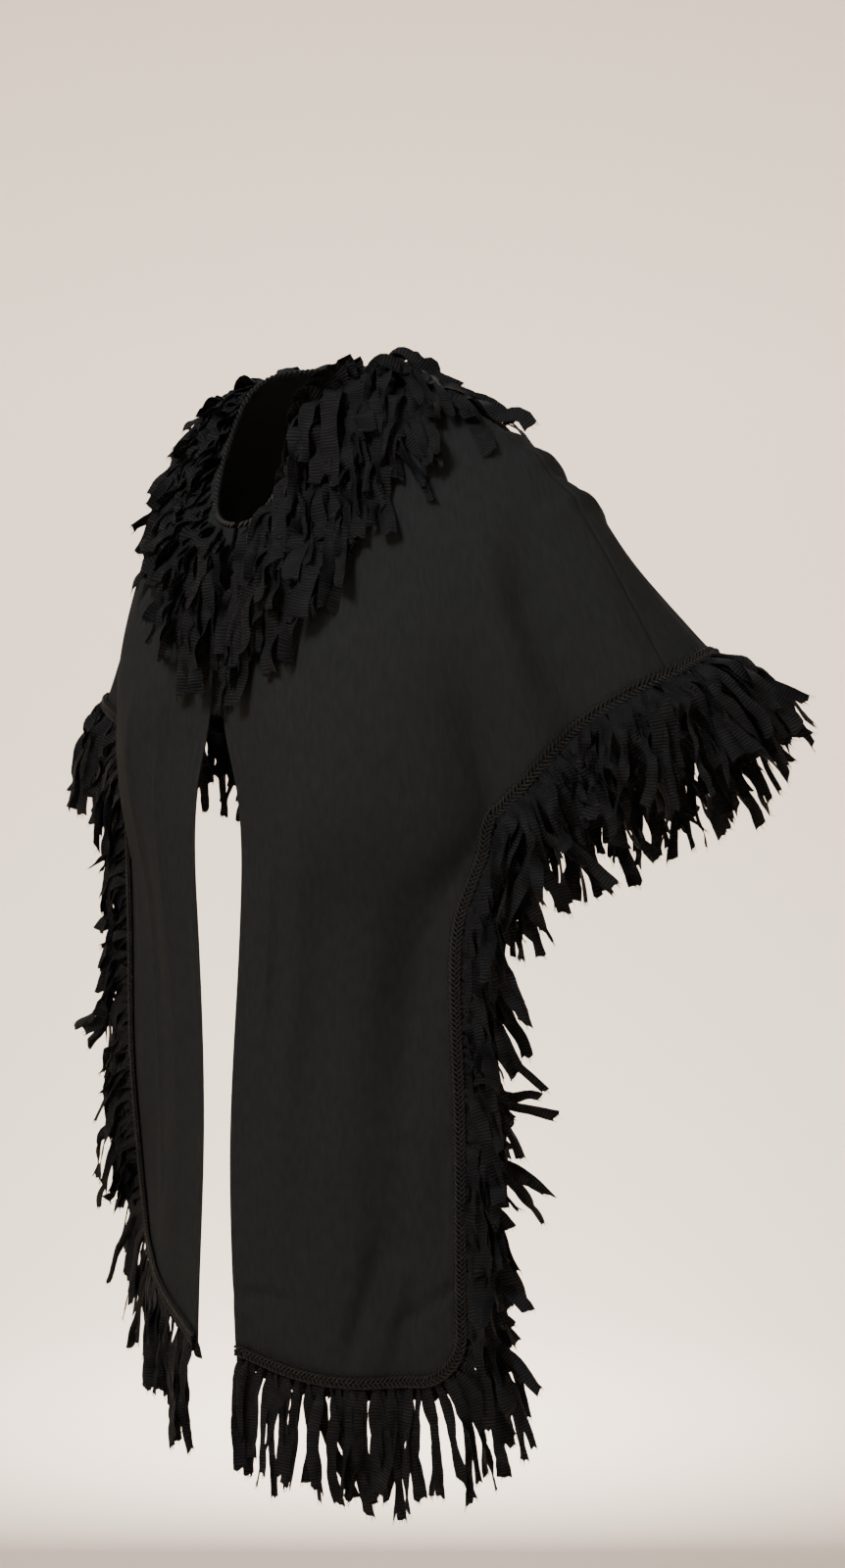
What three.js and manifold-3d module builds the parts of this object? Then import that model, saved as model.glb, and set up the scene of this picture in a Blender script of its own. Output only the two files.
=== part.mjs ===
// A black shoulder cape with two long stole fronts, worn with no wearer inside it.
// Two fronts and a back are joined by seams over the shoulders. A ribbon fringe under a flat braid
// runs along the whole lower edge, and three tiers of the same ribbon make a ruff at the neck.
// Millimetres. x is out to the wearer's left, y is back, z is up. The origin is the middle of the
// neckline, where the neck and shoulders of the wearer hold the cape up.
import * as THREE from 'three';
import Module from 'manifold-3d';
import { mergeVertices } from 'three/addons/utils/BufferGeometryUtils.js';

// Cloth
const CLOTH_THICKNESS = 2;
const SEAM_GAP = 0.4;
const SLOPE_STEP = 0.01; // how far along the surface its slope is measured, in ring and rib steps

// Neckline
const BINDING_RADIUS = 2.2;
const BINDING_GAP = 0.3;

// Fringe
const BRAID_WIDTH = 9;
const BRAID_THICKNESS = 2;
const BRAID_OVERHANG = 3; // how far the braid stands out past the cloth's edge
const RIBBON_WIDTH = 9;
const RIBBON_THICKNESS = 1.3;
const RIBBON_LENGTH = 92;
const RIBBON_PITCH = 20;
const RIBBON_STEPS = 3;
const LAYER_LIFT = 3.2; // every second ribbon hangs this much further out
// Each edge's braid stands off the cloth by the gap and starts with this many bare places. From one end of the braid to the other the ribbons
// change in how much their own weight turns them down and how far they are pushed off the cloth.
const HANG = table(['edge', 'gap', 'bare', 'fromWeight', 'toWeight', 'fromPush', 'toPush'], [
  ['hem_left', 0.5, 0, 0.75, 0.75, 0.05, 0.05],
  ['hem_right', 0.5, 0, 0.75, 0.75, 0.05, 0.05],
  ['side_left', 0.8, 0, 0.74, 0.72, 0.08, 0.08],
  ['side_right', 0.8, 0, 0.7, 0.6, 0.12, 0.2],
  ['arm_left', 1, 1, 0.65, 0.45, 0.15, 0.5],
  ['arm_right', 1, 2, 0.75, 0.7, 0.12, 0.12],
  ['back', 0.5, 0, 0.45, 0.7, 0.5, 0.12],
]);
const RUFF_BAND_WIDTH = 8;
const RUFF_LENGTH = 80;
const RUFF_PITCH = 22;
const RUFF_RISE = 0.15; // how far a ruff ribbon rises off the cloth, for each millimetre of its length
const RUFF_STEPS = 3;
const RUFF_DROOP = 3.5; // how much more a ruff ribbon follows its weight than the rib under it

// The hem's outer corner is rounded to these radii
const HEM_CORNER = { left: 32, right: 40 };

// Where one braid ends short of the next, in ribs and rings
const SIDE_CLEAR = 0.12;
const SEAM_CLEAR = 0.04;

// Rings of the surface, numbered down from the neckline
const NECK = 0;
const EDGE = 3;
const HEM = 6;
// Ribs of the surface, numbered round from the centre front to the centre back
const FRONT = 0;
const CORNER = 3; // where the stole's outer side turns out along the arm
const SEAM = 5; // the shoulder seam
const BACK = 8;
const SIDES = ['left', 'right'];

function table(columns, rows) {
  return rows.map(row => Object.fromEntries(columns.map((name, i) => [name, row[i]])));
}

// Distance of each tier of the ruff from the neckline, and the gap between its band and the cloth
const TIERS = table(['tier', 'fromNeck', 'gap'], [
  ['top', 2, 1.1],
  ['middle', 27, 1.1],
  ['low', 53, 2.2],
]);

// Where each rib starts on the neckline and crosses the yoke, the shoulder line and the lower edge.
const RIB_COLUMNS = [
  'rib', 'neckX', 'neckY', 'neckZ', 'yokeX', 'yokeY', 'yokeZ',
  'shoulderX', 'shoulderY', 'shoulderZ', 'edgeX', 'edgeY', 'edgeZ',
];
const RIBS = {
  left: table(RIB_COLUMNS, [
    ['centre_front', 2, -73, -50, 4, -88, -112, 11, -97, -176, 24, -99, -240],
    ['front', 11, -68, -46, 45, -92, -108, 63, -105, -174, 80, -106, -240],
    ['bust', 22, -60, -32, 84, -84, -94, 113, -99, -164, 142, -93, -240],
    ['corner', 31, -48, -6, 110, -62, -56, 160, -74, -144, 204, -46, -243],
    ['arm_front', 39, -36, 34, 126, -28, -8, 192, -24, -84, 260, 10, -170],
    ['shoulder_seam', 50, -12, 57, 134, 16, 25, 202, 36, -18, 286, 48, -147],
    ['arm_back', 49, 16, 62, 124, 62, 24, 186, 90, -46, 277, 118, -138],
    ['back', 29, 36, 62, 72, 100, 8, 108, 138, -84, 165, 185, -218],
    ['centre_back', 0, 44, 62, 0, 112, -2, 0, 150, -108, 0, 200, -265],
  ]),
  right: table(RIB_COLUMNS, [
    ['centre_front', -2, -73, -50, -4, -88, -112, -6, -97, -176, -14, -99, -240],
    ['front', -17, -70, -48, -46, -92, -110, -60, -102, -174, -68, -98, -240],
    ['bust', -32, -62, -42, -82, -82, -98, -102, -88, -170, -124, -70, -245],
    ['corner', -44, -50, -28, -104, -58, -68, -138, -56, -158, -170, -18, -250],
    ['arm_front', -54, -30, 2, -120, -24, -20, -160, -12, -108, -238, 38, -210],
    ['shoulder_seam', -57, -4, 42, -128, 18, 16, -186, 42, -34, -292, 76, -194],
    ['arm_back', -51, 18, 58, -120, 62, 20, -182, 94, -48, -268, 136, -196],
    ['back', -29, 36, 62, -72, 100, 8, -108, 138, -90, -165, 185, -236],
    ['centre_back', 0, 44, 62, 0, 112, -2, 0, 150, -108, 0, 200, -265],
  ]),
};

// Level sections of the stole below the edge ring. bulge is how far the middle stands forward.
const STOLE_COLUMNS = ['section', 'frontX', 'frontY', 'frontZ', 'sideX', 'sideY', 'sideZ', 'bulge', 'dip'];
const STOLES = {
  left: table(STOLE_COLUMNS, [
    ['waist', 25, -100, -340, 186, -54, -325, 12, 0],
    ['hip', 16, -101, -485, 188, -52, -470, 14, 0],
    ['hem', 20, -101, -631, 192, -54, -628, 12, 10],
  ]),
  right: table(STOLE_COLUMNS, [
    ['waist', -16, -100, -350, -174, -14, -345, 7, 0],
    ['hip', -11, -101, -485, -171, -12, -470, 7, 0],
    ['hem', -19, -100, -634, -166, -12, -584, 6, 8],
  ]),
};

// Soft folds, each running from one place on the cloth to another. k counts ribs and s counts rings.
const FOLD_COLUMNS = ['side', 'fromK', 'fromS', 'toK', 'toS', 'width', 'height'];
const FOLDS = table(FOLD_COLUMNS, [
  ['left', 3.6, 1.7, 2.3, 4.6, 24, -7],
  ['left', 4.35, 1.8, 3.7, 3.1, 22, -7],
  ['left', 2.3, 3.4, 2.2, 6.1, 22, -6],
  ['left', 1.2, 2.4, 0.8, 5.2, 14, 3],
  ['right', 0.9, 1.8, 1.1, 6.1, 14, 2],
  ['right', 1.9, 1.6, 2.0, 6.1, 18, -2.5],
  ['right', 4.3, 1.9, 3.9, 3.1, 20, -6],
  ['left', 6.1, 1.4, 6.3, 3.1, 18, -8],
  ['left', 6.9, 1.2, 7.2, 3.1, 16, 6],
  ['left', 7.6, 1.5, 7.75, 3.1, 15, -6],
  ['right', 6.1, 1.4, 6.3, 3.1, 18, -8],
  ['right', 6.9, 1.2, 7.2, 3.1, 16, 6],
  ['right', 7.6, 1.5, 7.75, 3.1, 15, -6],
]);

const signOf = side => (side === 'left' ? 1 : -1);
const other = side => (side === 'left' ? 'right' : 'left');
const radians = degrees => degrees * Math.PI / 180;
const smooth = x => {
  const t = Math.min(1, Math.max(0, x));
  return t * t * (3 - 2 * t);
};

function stolePoint(section, share) {
  const swell = Math.sin(Math.PI * share);
  return new THREE.Vector3(
    THREE.MathUtils.lerp(section.frontX, section.sideX, share),
    THREE.MathUtils.lerp(section.frontY, section.sideY, share) - section.bulge * swell,
    THREE.MathUtils.lerp(section.frontZ, section.sideZ, share) - section.dip * swell,
  );
}

// Each side's rings, from the neckline down, as lists of points in the order of the ribs.
function ringsOf(side) {
  const ribs = RIBS[side];
  const at = name => ribs.map(r => new THREE.Vector3(r[name + 'X'], r[name + 'Y'], r[name + 'Z']));
  const rings = [at('neck'), at('yoke'), at('shoulder'), at('edge')];
  for (const section of STOLES[side]) {
    rings.push(ribs.slice(0, CORNER + 1).map((_, i) => stolePoint(section, i / CORNER)));
  }
  // Past the corner no cloth lies below the edge, and the next ring is the last one carried straight on
  for (let k = CORNER + 1; k <= BACK; k++) {
    rings[EDGE + 1][k] = rings[EDGE][k].clone().multiplyScalar(2).sub(rings[EDGE - 1][k]);
  }
  return rings;
}
const RINGS = { left: ringsOf('left'), right: ringsOf('right') };

function spline(before, from, to, after, t) {
  const curve = axis => {
    const [a, b, c, d] = [before[axis], from[axis], to[axis], after[axis]];
    return 0.5 * (2 * b + (c - a) * t + (2 * a - 5 * b + 4 * c - d) * t * t + (3 * b - a - 3 * c + d) * t * t * t);
  };
  return new THREE.Vector3(curve('x'), curve('y'), curve('z'));
}

const beyond = (last, inner) => last.clone().multiplyScalar(2).sub(inner);

function alongRing(side, ring, k) {
  const points = RINGS[side][ring];
  const stole = ring > EDGE && k <= CORNER;
  const last = stole ? CORNER : BACK;
  const i = Math.min(Math.max(Math.floor(k), 0), last - 1);
  const before = i > 0 ? points[i - 1] : beyond(points[0], points[1]);
  let after = points[i + 2];
  if (i + 2 > last) after = stole ? beyond(points[last], points[last - 1]) : RINGS[other(side)][ring][BACK - 1];
  return spline(before, points[i], points[i + 1], after, k - i);
}

function basePoint(side, k, s) {
  const last = k <= CORNER ? HEM : EDGE;
  const i = Math.min(Math.max(Math.floor(s), 0), last - 1);
  const from = alongRing(side, i, k);
  const to = alongRing(side, i + 1, k);
  const before = i > 0 ? alongRing(side, i - 1, k) : beyond(from, to);
  const after = i + 2 <= Math.max(last, EDGE + 1) ? alongRing(side, i + 2, k) : beyond(to, from);
  return spline(before, from, to, after, s - i);
}

// The surface's slopes and its outward normal, measured on any of its point functions.
function frameAt(pointOf, side, k, s) {
  const along = (dk, ds) => pointOf(side, k + dk, s + ds);
  const lastRib = s > EDGE ? CORNER : BACK;
  const kStep = k + SLOPE_STEP > lastRib ? -SLOPE_STEP : SLOPE_STEP;
  const sStep = s > NECK + SLOPE_STEP ? -SLOPE_STEP : SLOPE_STEP;
  const p = along(0, 0);
  const round = along(kStep, 0).sub(p).divideScalar(kStep);
  const down = along(0, sStep).sub(p).divideScalar(sStep);
  const normal = down.clone().cross(round).normalize().multiplyScalar(signOf(side));
  return { p, round, down, normal };
}

function foldHeight(side, k, s, spacing) {
  let height = 0;
  for (const fold of FOLDS) {
    if (fold.side !== side) continue;
    const t = (s - fold.fromS) / (fold.toS - fold.fromS);
    const across = (k - THREE.MathUtils.lerp(fold.fromK, fold.toK, t)) * spacing / fold.width;
    const fade = smooth(t / 0.35) * smooth((1.15 - t) / 0.3);
    height += fold.height * fade * Math.exp(-across * across);
  }
  return height;
}

function clothPoint(side, k, s) {
  const base = frameAt(basePoint, side, k, s);
  return base.p.addScaledVector(base.normal, foldHeight(side, k, s, base.round.length()));
}
const clothFrame = (side, k, s) => frameAt(clothPoint, side, k, s);

// A closed wall from a set of quads: the outer face, the inner face and a strip round every open edge.
function wallOf(frames, quads) {
  const count = frames.length;
  const position = [];
  for (const f of frames) position.push(...f.p);
  for (const f of frames) position.push(...f.p.clone().addScaledVector(f.normal, -CLOTH_THICKNESS));
  const index = [];
  const edges = new Map();
  for (const [a, b, c, d] of quads) {
    index.push(a, b, c, a, c, d);
    index.push(a + count, c + count, b + count, a + count, d + count, c + count);
    [[a, b], [b, c], [c, d], [d, a]].forEach(([from, to]) => edges.set(from + '_' + to, [from, to]));
  }
  for (const [from, to] of edges.values()) {
    if (edges.has(to + '_' + from)) continue;
    index.push(from, from + count, to + count, from, to + count, to);
  }
  const geometry = new THREE.BufferGeometry();
  geometry.setAttribute('position', new THREE.Float32BufferAttribute(position, 3));
  geometry.setIndex(index);
  return geometry;
}

const steps = (from, to, count) => Array.from({ length: count + 1 }, (_, i) => from + (to - from) * i / count);

// Length of the cloth along a rib for one step of s, close above the hem
const hemStep = side => clothFrame(side, CORNER, HEM - 0.1).down.length();
const hemSpacing = side => clothFrame(side, CORNER - 0.1, HEM - 0.1).round.length();

// The hem's place on a rib: level, and rounded up at its outer corner.
function hemAt(side, k) {
  const radius = HEM_CORNER[side];
  const fromSide = (CORNER - k) * hemSpacing(side);
  if (fromSide >= radius) return HEM;
  const inwards = radius - fromSide;
  return HEM - (radius - Math.sqrt(Math.max(0, radius ** 2 - inwards ** 2))) / hemStep(side);
}

const STOLE_RIBS = [0, 0.28, 0.56, 0.84, 1.12, 1.4, 1.68, 1.96, 2.24, 2.52, 2.74, 2.9, CORNER];
const UPPER_RIBS = [...STOLE_RIBS, ...steps(CORNER, SEAM, 8).slice(1)];
const UPPER_ROWS = 12;
const STOLE_ROWS = 12;

// A face of the right half is wound the other way round.
const facing = (side, quad) => (side === 'left' ? quad : [...quad].reverse());

function frontPanel(side) {
  const frames = [];
  const quads = [];
  const place = (row, column) => frames.push(clothFrame(side, column, row)) - 1;
  const inset = f => f.p.addScaledVector(f.round.clone().normalize(), -SEAM_GAP / 2);
  const upper = steps(NECK, EDGE, UPPER_ROWS).map(s => UPPER_RIBS.map(k => place(s, k)));
  upper.forEach(row => inset(frames[row.at(-1)]));
  const lower = steps(0, 1, STOLE_ROWS).slice(1).map(
    share => STOLE_RIBS.map(k => place(EDGE + (hemAt(side, k) - EDGE) * share, k)));
  const rows = [...upper, ...lower];
  for (let r = 0; r + 1 < rows.length; r++) {
    for (let c = 0; c + 1 < Math.min(rows[r].length, rows[r + 1].length); c++) {
      quads.push(facing(side, [rows[r][c], rows[r + 1][c], rows[r + 1][c + 1], rows[r][c + 1]]));
    }
  }
  return wallOf(frames, quads);
}

// Ribs of the whole back, from the left seam round to the right one.
const BACK_RIBS = 11;
function backRibs() {
  const half = steps(SEAM, BACK, BACK_RIBS);
  return [...half.map(k => ['left', k]), ...half.slice(0, -1).reverse().map(k => ['right', k])];
}

function backPanel() {
  const frames = [];
  const quads = [];
  const ribs = backRibs();
  const rows = steps(NECK, EDGE, UPPER_ROWS).map(s => ribs.map(([side, k], i) => {
    const f = clothFrame(side, k, s);
    const atSeam = i === 0 || i === ribs.length - 1;
    if (atSeam) f.p.addScaledVector(f.round.clone().normalize(), SEAM_GAP / 2);
    return frames.push(f) - 1;
  }));
  for (let r = 0; r < UPPER_ROWS; r++) {
    for (let c = 0; c + 1 < ribs.length; c++) {
      quads.push([rows[r][c], rows[r + 1][c], rows[r + 1][c + 1], rows[r][c + 1]]);
    }
  }
  return wallOf(frames, quads);
}

// A bar of constant section along a list of frames. Each frame has its corner points in order.
function barOf(sections) {
  const sides = sections[0].length;
  const position = sections.flatMap(section => section.flatMap(p => [...p]));
  const index = [];
  for (let i = 0; i + 1 < sections.length; i++) {
    for (let j = 0; j < sides; j++) {
      const [a, b] = [i * sides + j, i * sides + (j + 1) % sides];
      index.push(a, b, b + sides, a, b + sides, a + sides);
    }
  }
  const last = (sections.length - 1) * sides;
  for (let j = 1; j + 1 < sides; j++) index.push(0, j + 1, j, last, last + j, last + j + 1);
  const geometry = new THREE.BufferGeometry();
  geometry.setAttribute('position', new THREE.Float32BufferAttribute(position, 3));
  geometry.setIndex(index);
  return geometry;
}

// The corners of a flat bar: its width lies along across, its thickness along normal.
function flatSection(p, across, normal, halfWidth, halfThickness) {
  const corner = (w, t) => p.clone().addScaledVector(across, w).addScaledVector(normal, t);
  return [
    corner(-halfWidth, -halfThickness), corner(halfWidth, -halfThickness),
    corner(halfWidth, halfThickness), corner(-halfWidth, halfThickness),
  ];
}

const wasm = await Module();
wasm.setup();

function solidOf(geometry) {
  const merged = mergeVertices(geometry, 1e-4);
  return new wasm.Manifold(new wasm.Mesh({
    numProp: 3,
    vertProperties: merged.attributes.position.array,
    triVerts: new Uint32Array(merged.index.array),
  }));
}

function facingOut(whole) {
  const geometry = whole.index ? whole : mergeVertices(new THREE.BufferGeometry().setAttribute(
    'position', whole.attributes.position), 1e-4);
  const solid = solidOf(geometry);
  if (solid.volume() > 0) return geometry;
  const index = geometry.index.array;
  for (let i = 0; i < index.length; i += 3) {
    [index[i + 1], index[i + 2]] = [index[i + 2], index[i + 1]];
  }
  return geometry;
}

function joined(geometries) {
  const whole = geometries.map(g => solidOf(facingOut(g))).reduce((sum, next) => sum.add(next));
  const mesh = whole.getMesh();
  const geometry = new THREE.BufferGeometry();
  geometry.setAttribute('position', new THREE.Float32BufferAttribute(Array.from(mesh.vertProperties), 3));
  geometry.setIndex(Array.from(mesh.triVerts));
  return geometry;
}

// A line drawn on the cloth, as frames: tangent runs along the line, out points across it, away from the
// neck. ROW_STEP up the cloth from the line lies the next row of the wall, and out follows that facet.
const ROW_STEP = 0.25;
function lineOnCloth(places) {
  const frames = places.map(([side, k, s]) => clothFrame(side, k, s));
  return frames.map((f, i) => {
    const [side, k, s] = places[i];
    const before = frames[Math.max(i - 1, 0)].p;
    const after = frames[Math.min(i + 1, frames.length - 1)].p;
    const tangent = after.clone().sub(before).normalize();
    const onSide = s > EDGE && k > CORNER - 0.2;
    const inner = onSide ? clothPoint(side, k - 0.2, s) : clothPoint(side, k, Math.max(s - ROW_STEP, NECK));
    const away = s < ROW_STEP ? f.down.clone() : f.p.clone().sub(inner);
    const out = away.addScaledVector(tangent, -away.dot(tangent)).normalize();
    const normal = out.clone().cross(tangent).normalize();
    if (normal.dot(f.normal) < 0) normal.negate();
    return { p: f.p, normal, tangent, out };
  });
}

const lengthOf = line => line.slice(1).reduce((sum, f, i) => sum + f.p.distanceTo(line[i].p), 0);

function placeOn(line, distance) {
  let left = distance;
  for (let i = 0; i + 1 < line.length; i++) {
    const step = line[i].p.distanceTo(line[i + 1].p);
    if (left <= step || i + 2 === line.length) {
      const t = Math.min(1, left / step);
      const mix = name => line[i][name].clone().lerp(line[i + 1][name], t);
      return { p: mix('p'), normal: mix('normal').normalize(), tangent: mix('tangent').normalize(), out: mix('out').normalize() };
    }
    left -= step;
  }
  throw new Error('the line has one point only');
}

function bandOf(line, width, middle, gap) {
  const height = gap + BRAID_THICKNESS / 2;
  return barOf(line.map(f => flatSection(
    f.p.clone().addScaledVector(f.out, middle).addScaledVector(f.normal, height),
    f.out, f.normal, width / 2, BRAID_THICKNESS / 2)));
}
const braidOf = (line, gap) => bandOf(line, BRAID_WIDTH, BRAID_OVERHANG - BRAID_WIDTH / 2, gap);

const DOWN = new THREE.Vector3(0, 0, -1);

// A ribbon that leaves the edge square to it, turns down under its own weight and hangs free.
function hangingRibbon(f, number, gap, weight, push) {
  const lift = number % 2 ? LAYER_LIFT : 0;
  const direction = new THREE.Vector3();
  const p = f.p.clone().addScaledVector(f.normal, gap + BRAID_THICKNESS / 2);
  const sections = [];
  const step = RIBBON_LENGTH / RIBBON_STEPS;
  for (let i = 0; i <= RIBBON_STEPS; i++) {
    const share = i / RIBBON_STEPS;
    direction.copy(f.out).addScaledVector(f.normal, push).lerp(DOWN, smooth(share * 1.5) * weight).normalize();
    if (i > 0) p.addScaledVector(direction, step);
    const across = f.normal.clone().cross(direction).normalize();
    const normal = direction.clone().cross(across).normalize();
    const lifted = p.clone().addScaledVector(f.normal, lift * smooth(share * 3));
    sections.push(flatSection(lifted, across, normal, RIBBON_WIDTH / 2, RIBBON_THICKNESS / 2));
  }
  return barOf(sections);
}

function fringeOf(line, edge) {
  const hang = HANG.find(row => row.edge === edge);
  const length = lengthOf(line);
  const count = Math.max(2, Math.round(length / RIBBON_PITCH));
  const pitch = length / count;
  const ribbons = Array.from({ length: count }, (_, i) => {
    const share = i / (count - 1);
    const weight = THREE.MathUtils.lerp(hang.fromWeight, hang.toWeight, share);
    const push = THREE.MathUtils.lerp(hang.fromPush, hang.toPush, share);
    return hangingRibbon(placeOn(line, pitch * (i + 0.5)), i, hang.gap, weight, push);
  });
  return joined([braidOf(line, hang.gap), ...ribbons.slice(hang.bare)]);
}

// The place reached from another one by walking over the cloth.
function walk([side, k, s], direction, distance) {
  const { round, down } = clothFrame(side, k, s);
  const [a, b, c] = [round.dot(round), round.dot(down), down.dot(down)];
  const [d, e] = [direction.dot(round) * distance, direction.dot(down) * distance];
  const det = a * c - b * b;
  const kNext = k + (d * c - e * b) / det;
  const sNext = s + (e * a - d * b) / det;
  return [side, Math.min(Math.max(kNext, FRONT), BACK), sNext];
}

// The place a distance away from the neckline, square to it.
function belowNeck(side, k, distance) {
  let place = [side, k, NECK];
  for (let i = 0; i < 6; i++) {
    const f = clothFrame(...place);
    const square = f.round.clone().cross(f.normal).normalize().multiplyScalar(signOf(side));
    place = walk(place, square, distance / 6);
  }
  return place;
}

// A ribbon of the ruff lies along the cloth, rising off it a little, and droops under its weight.
function ruffRibbon(start, gap) {
  let place = start;
  const sections = [];
  for (let i = 0; i <= RUFF_STEPS; i++) {
    const f = clothFrame(...place);
    const direction = DOWN.clone().addScaledVector(f.normal, -DOWN.dot(f.normal)).multiplyScalar(RUFF_DROOP);
    direction.add(f.down.clone().normalize()).normalize();
    const travelled = i * RUFF_LENGTH / RUFF_STEPS;
    const across = f.normal.clone().cross(direction).normalize();
    const middle = f.p.clone().addScaledVector(f.normal, gap + BRAID_THICKNESS / 2 + travelled * RUFF_RISE);
    sections.push(flatSection(middle, across, f.normal, RIBBON_WIDTH / 2, RIBBON_THICKNESS / 2));
    place = walk(place, direction, RUFF_LENGTH / RUFF_STEPS);
  }
  return barOf(sections);
}

// Ribs all round the neckline, from the left centre front to the right one.
function neckRibs(count) {
  const left = steps(FRONT + 0.06, BACK, count);
  return [...left.map(k => ['left', k]), ...left.slice(0, -1).reverse().map(k => ['right', k])];
}

function ruffTier({ fromNeck, gap }) {
  const places = neckRibs(20).map(([side, k]) => belowNeck(side, k, fromNeck + RUFF_BAND_WIDTH / 2));
  const line = lineOnCloth(places);
  const count = Math.round(lengthOf(line) / RUFF_PITCH);
  const ribbons = steps(0.5, count - 0.5, count - 1).map(n => {
    const at = n / count * (places.length - 1);
    const i = Math.min(Math.floor(at), places.length - 2);
    const [from, to] = [places[i], places[i + 1]];
    const side = from[1] === BACK ? to[0] : from[0];
    const mix = axis => THREE.MathUtils.lerp(from[axis], to[axis], at - i);
    return ruffRibbon([side, mix(1), mix(2)], gap);
  });
  return joined([bandOf(line, RUFF_BAND_WIDTH, 0, gap), ...ribbons]);
}

// A round cord that runs along the raw edge of the neckline, clear of it by the binding gap.
function neckBinding() {
  const line = lineOnCloth(neckRibs(24).map(([side, k]) => [side, k, NECK]));
  const above = -(BINDING_RADIUS + BINDING_GAP);
  const middle = line.map(f => f.p.addScaledVector(f.out, above).addScaledVector(f.normal, -CLOTH_THICKNESS / 2));
  const round = new THREE.Shape();
  round.absarc(0, 0, BINDING_RADIUS, 0, Math.PI * 2);
  return new THREE.ExtrudeGeometry(round, {
    extrudePath: new THREE.CatmullRomCurve3(middle),
    steps: 60,
    curveSegments: 3,
  });
}

// The lower edge of each front, at the same ribs and rows as its wall: along the hem and round its
// corner, up the stole's side, and out along the arm.
const hemLine = side => STOLE_RIBS.slice(0, -1).map(k => [side, Math.max(k, 0.02), hemAt(side, k)]);

function sideLine(side) {
  const start = hemAt(side, CORNER);
  const rows = steps(EDGE, start, STOLE_ROWS).slice(1).reverse();
  return [...rows, EDGE + SIDE_CLEAR].map(s => [side, CORNER, s]);
}

function armLine(side) {
  const ribs = UPPER_RIBS.filter(k => k > CORNER && k < SEAM);
  return [CORNER, ...ribs, SEAM - SEAM_CLEAR].map(k => [side, k, EDGE]);
}

function backLine() {
  const ribs = steps(SEAM, BACK, BACK_RIBS);
  const half = [SEAM + SEAM_CLEAR, ...ribs.slice(1)];
  return [...half.map(k => ['left', k, EDGE]), ...half.slice(0, -1).reverse().map(k => ['right', k, EDGE])];
}

// Builds the cape
const cloth = new THREE.MeshStandardMaterial({ color: 0x17171a, roughness: 0.9, metalness: 0 });
const ribbon = new THREE.MeshStandardMaterial({ color: 0x101012, roughness: 0.75, metalness: 0 });
const cape = new THREE.Group();

function add(name, geometry, material) {
  const mesh = new THREE.Mesh(facingOut(geometry), material);
  mesh.name = name;
  cape.add(mesh);
}

for (const side of SIDES) {
  add('front_' + side, frontPanel(side), cloth);
  add('fringe_hem_' + side, fringeOf(lineOnCloth(hemLine(side)), 'hem_' + side), ribbon);
  add('fringe_side_' + side, fringeOf(lineOnCloth(sideLine(side)), 'side_' + side), ribbon);
  add('fringe_arm_' + side, fringeOf(lineOnCloth(armLine(side)), 'arm_' + side), ribbon);
}
add('back', backPanel(), cloth);
add('fringe_back', fringeOf(lineOnCloth(backLine()), 'back'), ribbon);
add('neck_binding', neckBinding(), ribbon);
for (const row of TIERS) add('ruff_' + row.tier, ruffTier(row), ribbon);

export default cape;
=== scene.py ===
# %% [markdown]
# # A black shoulder cape with a ribbon fringe
# The cape is a short mantle of fine black wool with two long stole fronts, from about 1890 to 1905. A
# flat plaited braid is sewn round its whole lower edge, and hundreds of short cut lengths of ribbon hang
# from under it. Three tiers of the same ribbon make a ruff round the neck. It keeps the hollow shape that it
# has in wear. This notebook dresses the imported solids: cloth, braid, ribbons, binding, then light and camera.

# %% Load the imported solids
import math

import bpy
import numpy as np
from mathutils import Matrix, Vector


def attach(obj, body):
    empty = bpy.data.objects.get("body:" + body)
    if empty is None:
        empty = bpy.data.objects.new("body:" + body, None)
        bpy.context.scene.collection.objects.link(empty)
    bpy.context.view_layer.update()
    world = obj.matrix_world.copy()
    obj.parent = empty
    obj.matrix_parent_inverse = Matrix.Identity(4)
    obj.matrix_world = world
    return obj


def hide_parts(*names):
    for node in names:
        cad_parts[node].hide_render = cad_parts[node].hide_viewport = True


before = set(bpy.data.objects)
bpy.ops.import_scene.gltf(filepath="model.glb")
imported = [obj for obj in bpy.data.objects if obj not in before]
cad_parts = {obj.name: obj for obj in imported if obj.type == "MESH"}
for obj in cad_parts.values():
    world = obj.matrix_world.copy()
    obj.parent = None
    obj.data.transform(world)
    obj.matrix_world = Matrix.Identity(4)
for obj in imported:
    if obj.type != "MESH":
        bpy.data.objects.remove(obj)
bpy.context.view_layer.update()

print("nodes", sorted(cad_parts))

# %% [markdown]
# ## The shape of the cloth
# The cloth is one surface with two directions. Ribs run down it from the neckline, numbered from the
# centre front at 0 round to the centre back at 8, with the shoulder seam at 5. Rings run round it,
# numbered from the neckline at 0 to the short edge over the arms at 3, and on down the stole to its hem
# at 6. A smooth curve through the tables below gives every point between them. The solids have the same
# tables, so both have one shape. A cloth simulation could hang the cape too, but it would not settle into
# the photo's own outline. Table sizes are in millimetres, and meshes are made in metres.

# %% The tables of the shape
NECK, EDGE, HEM = 0, 3, 6
FRONT, CORNER, SEAM, BACK = 0, 3, 5, 8
SIGN = {"left": 1, "right": -1}
MM = 0.001

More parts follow.
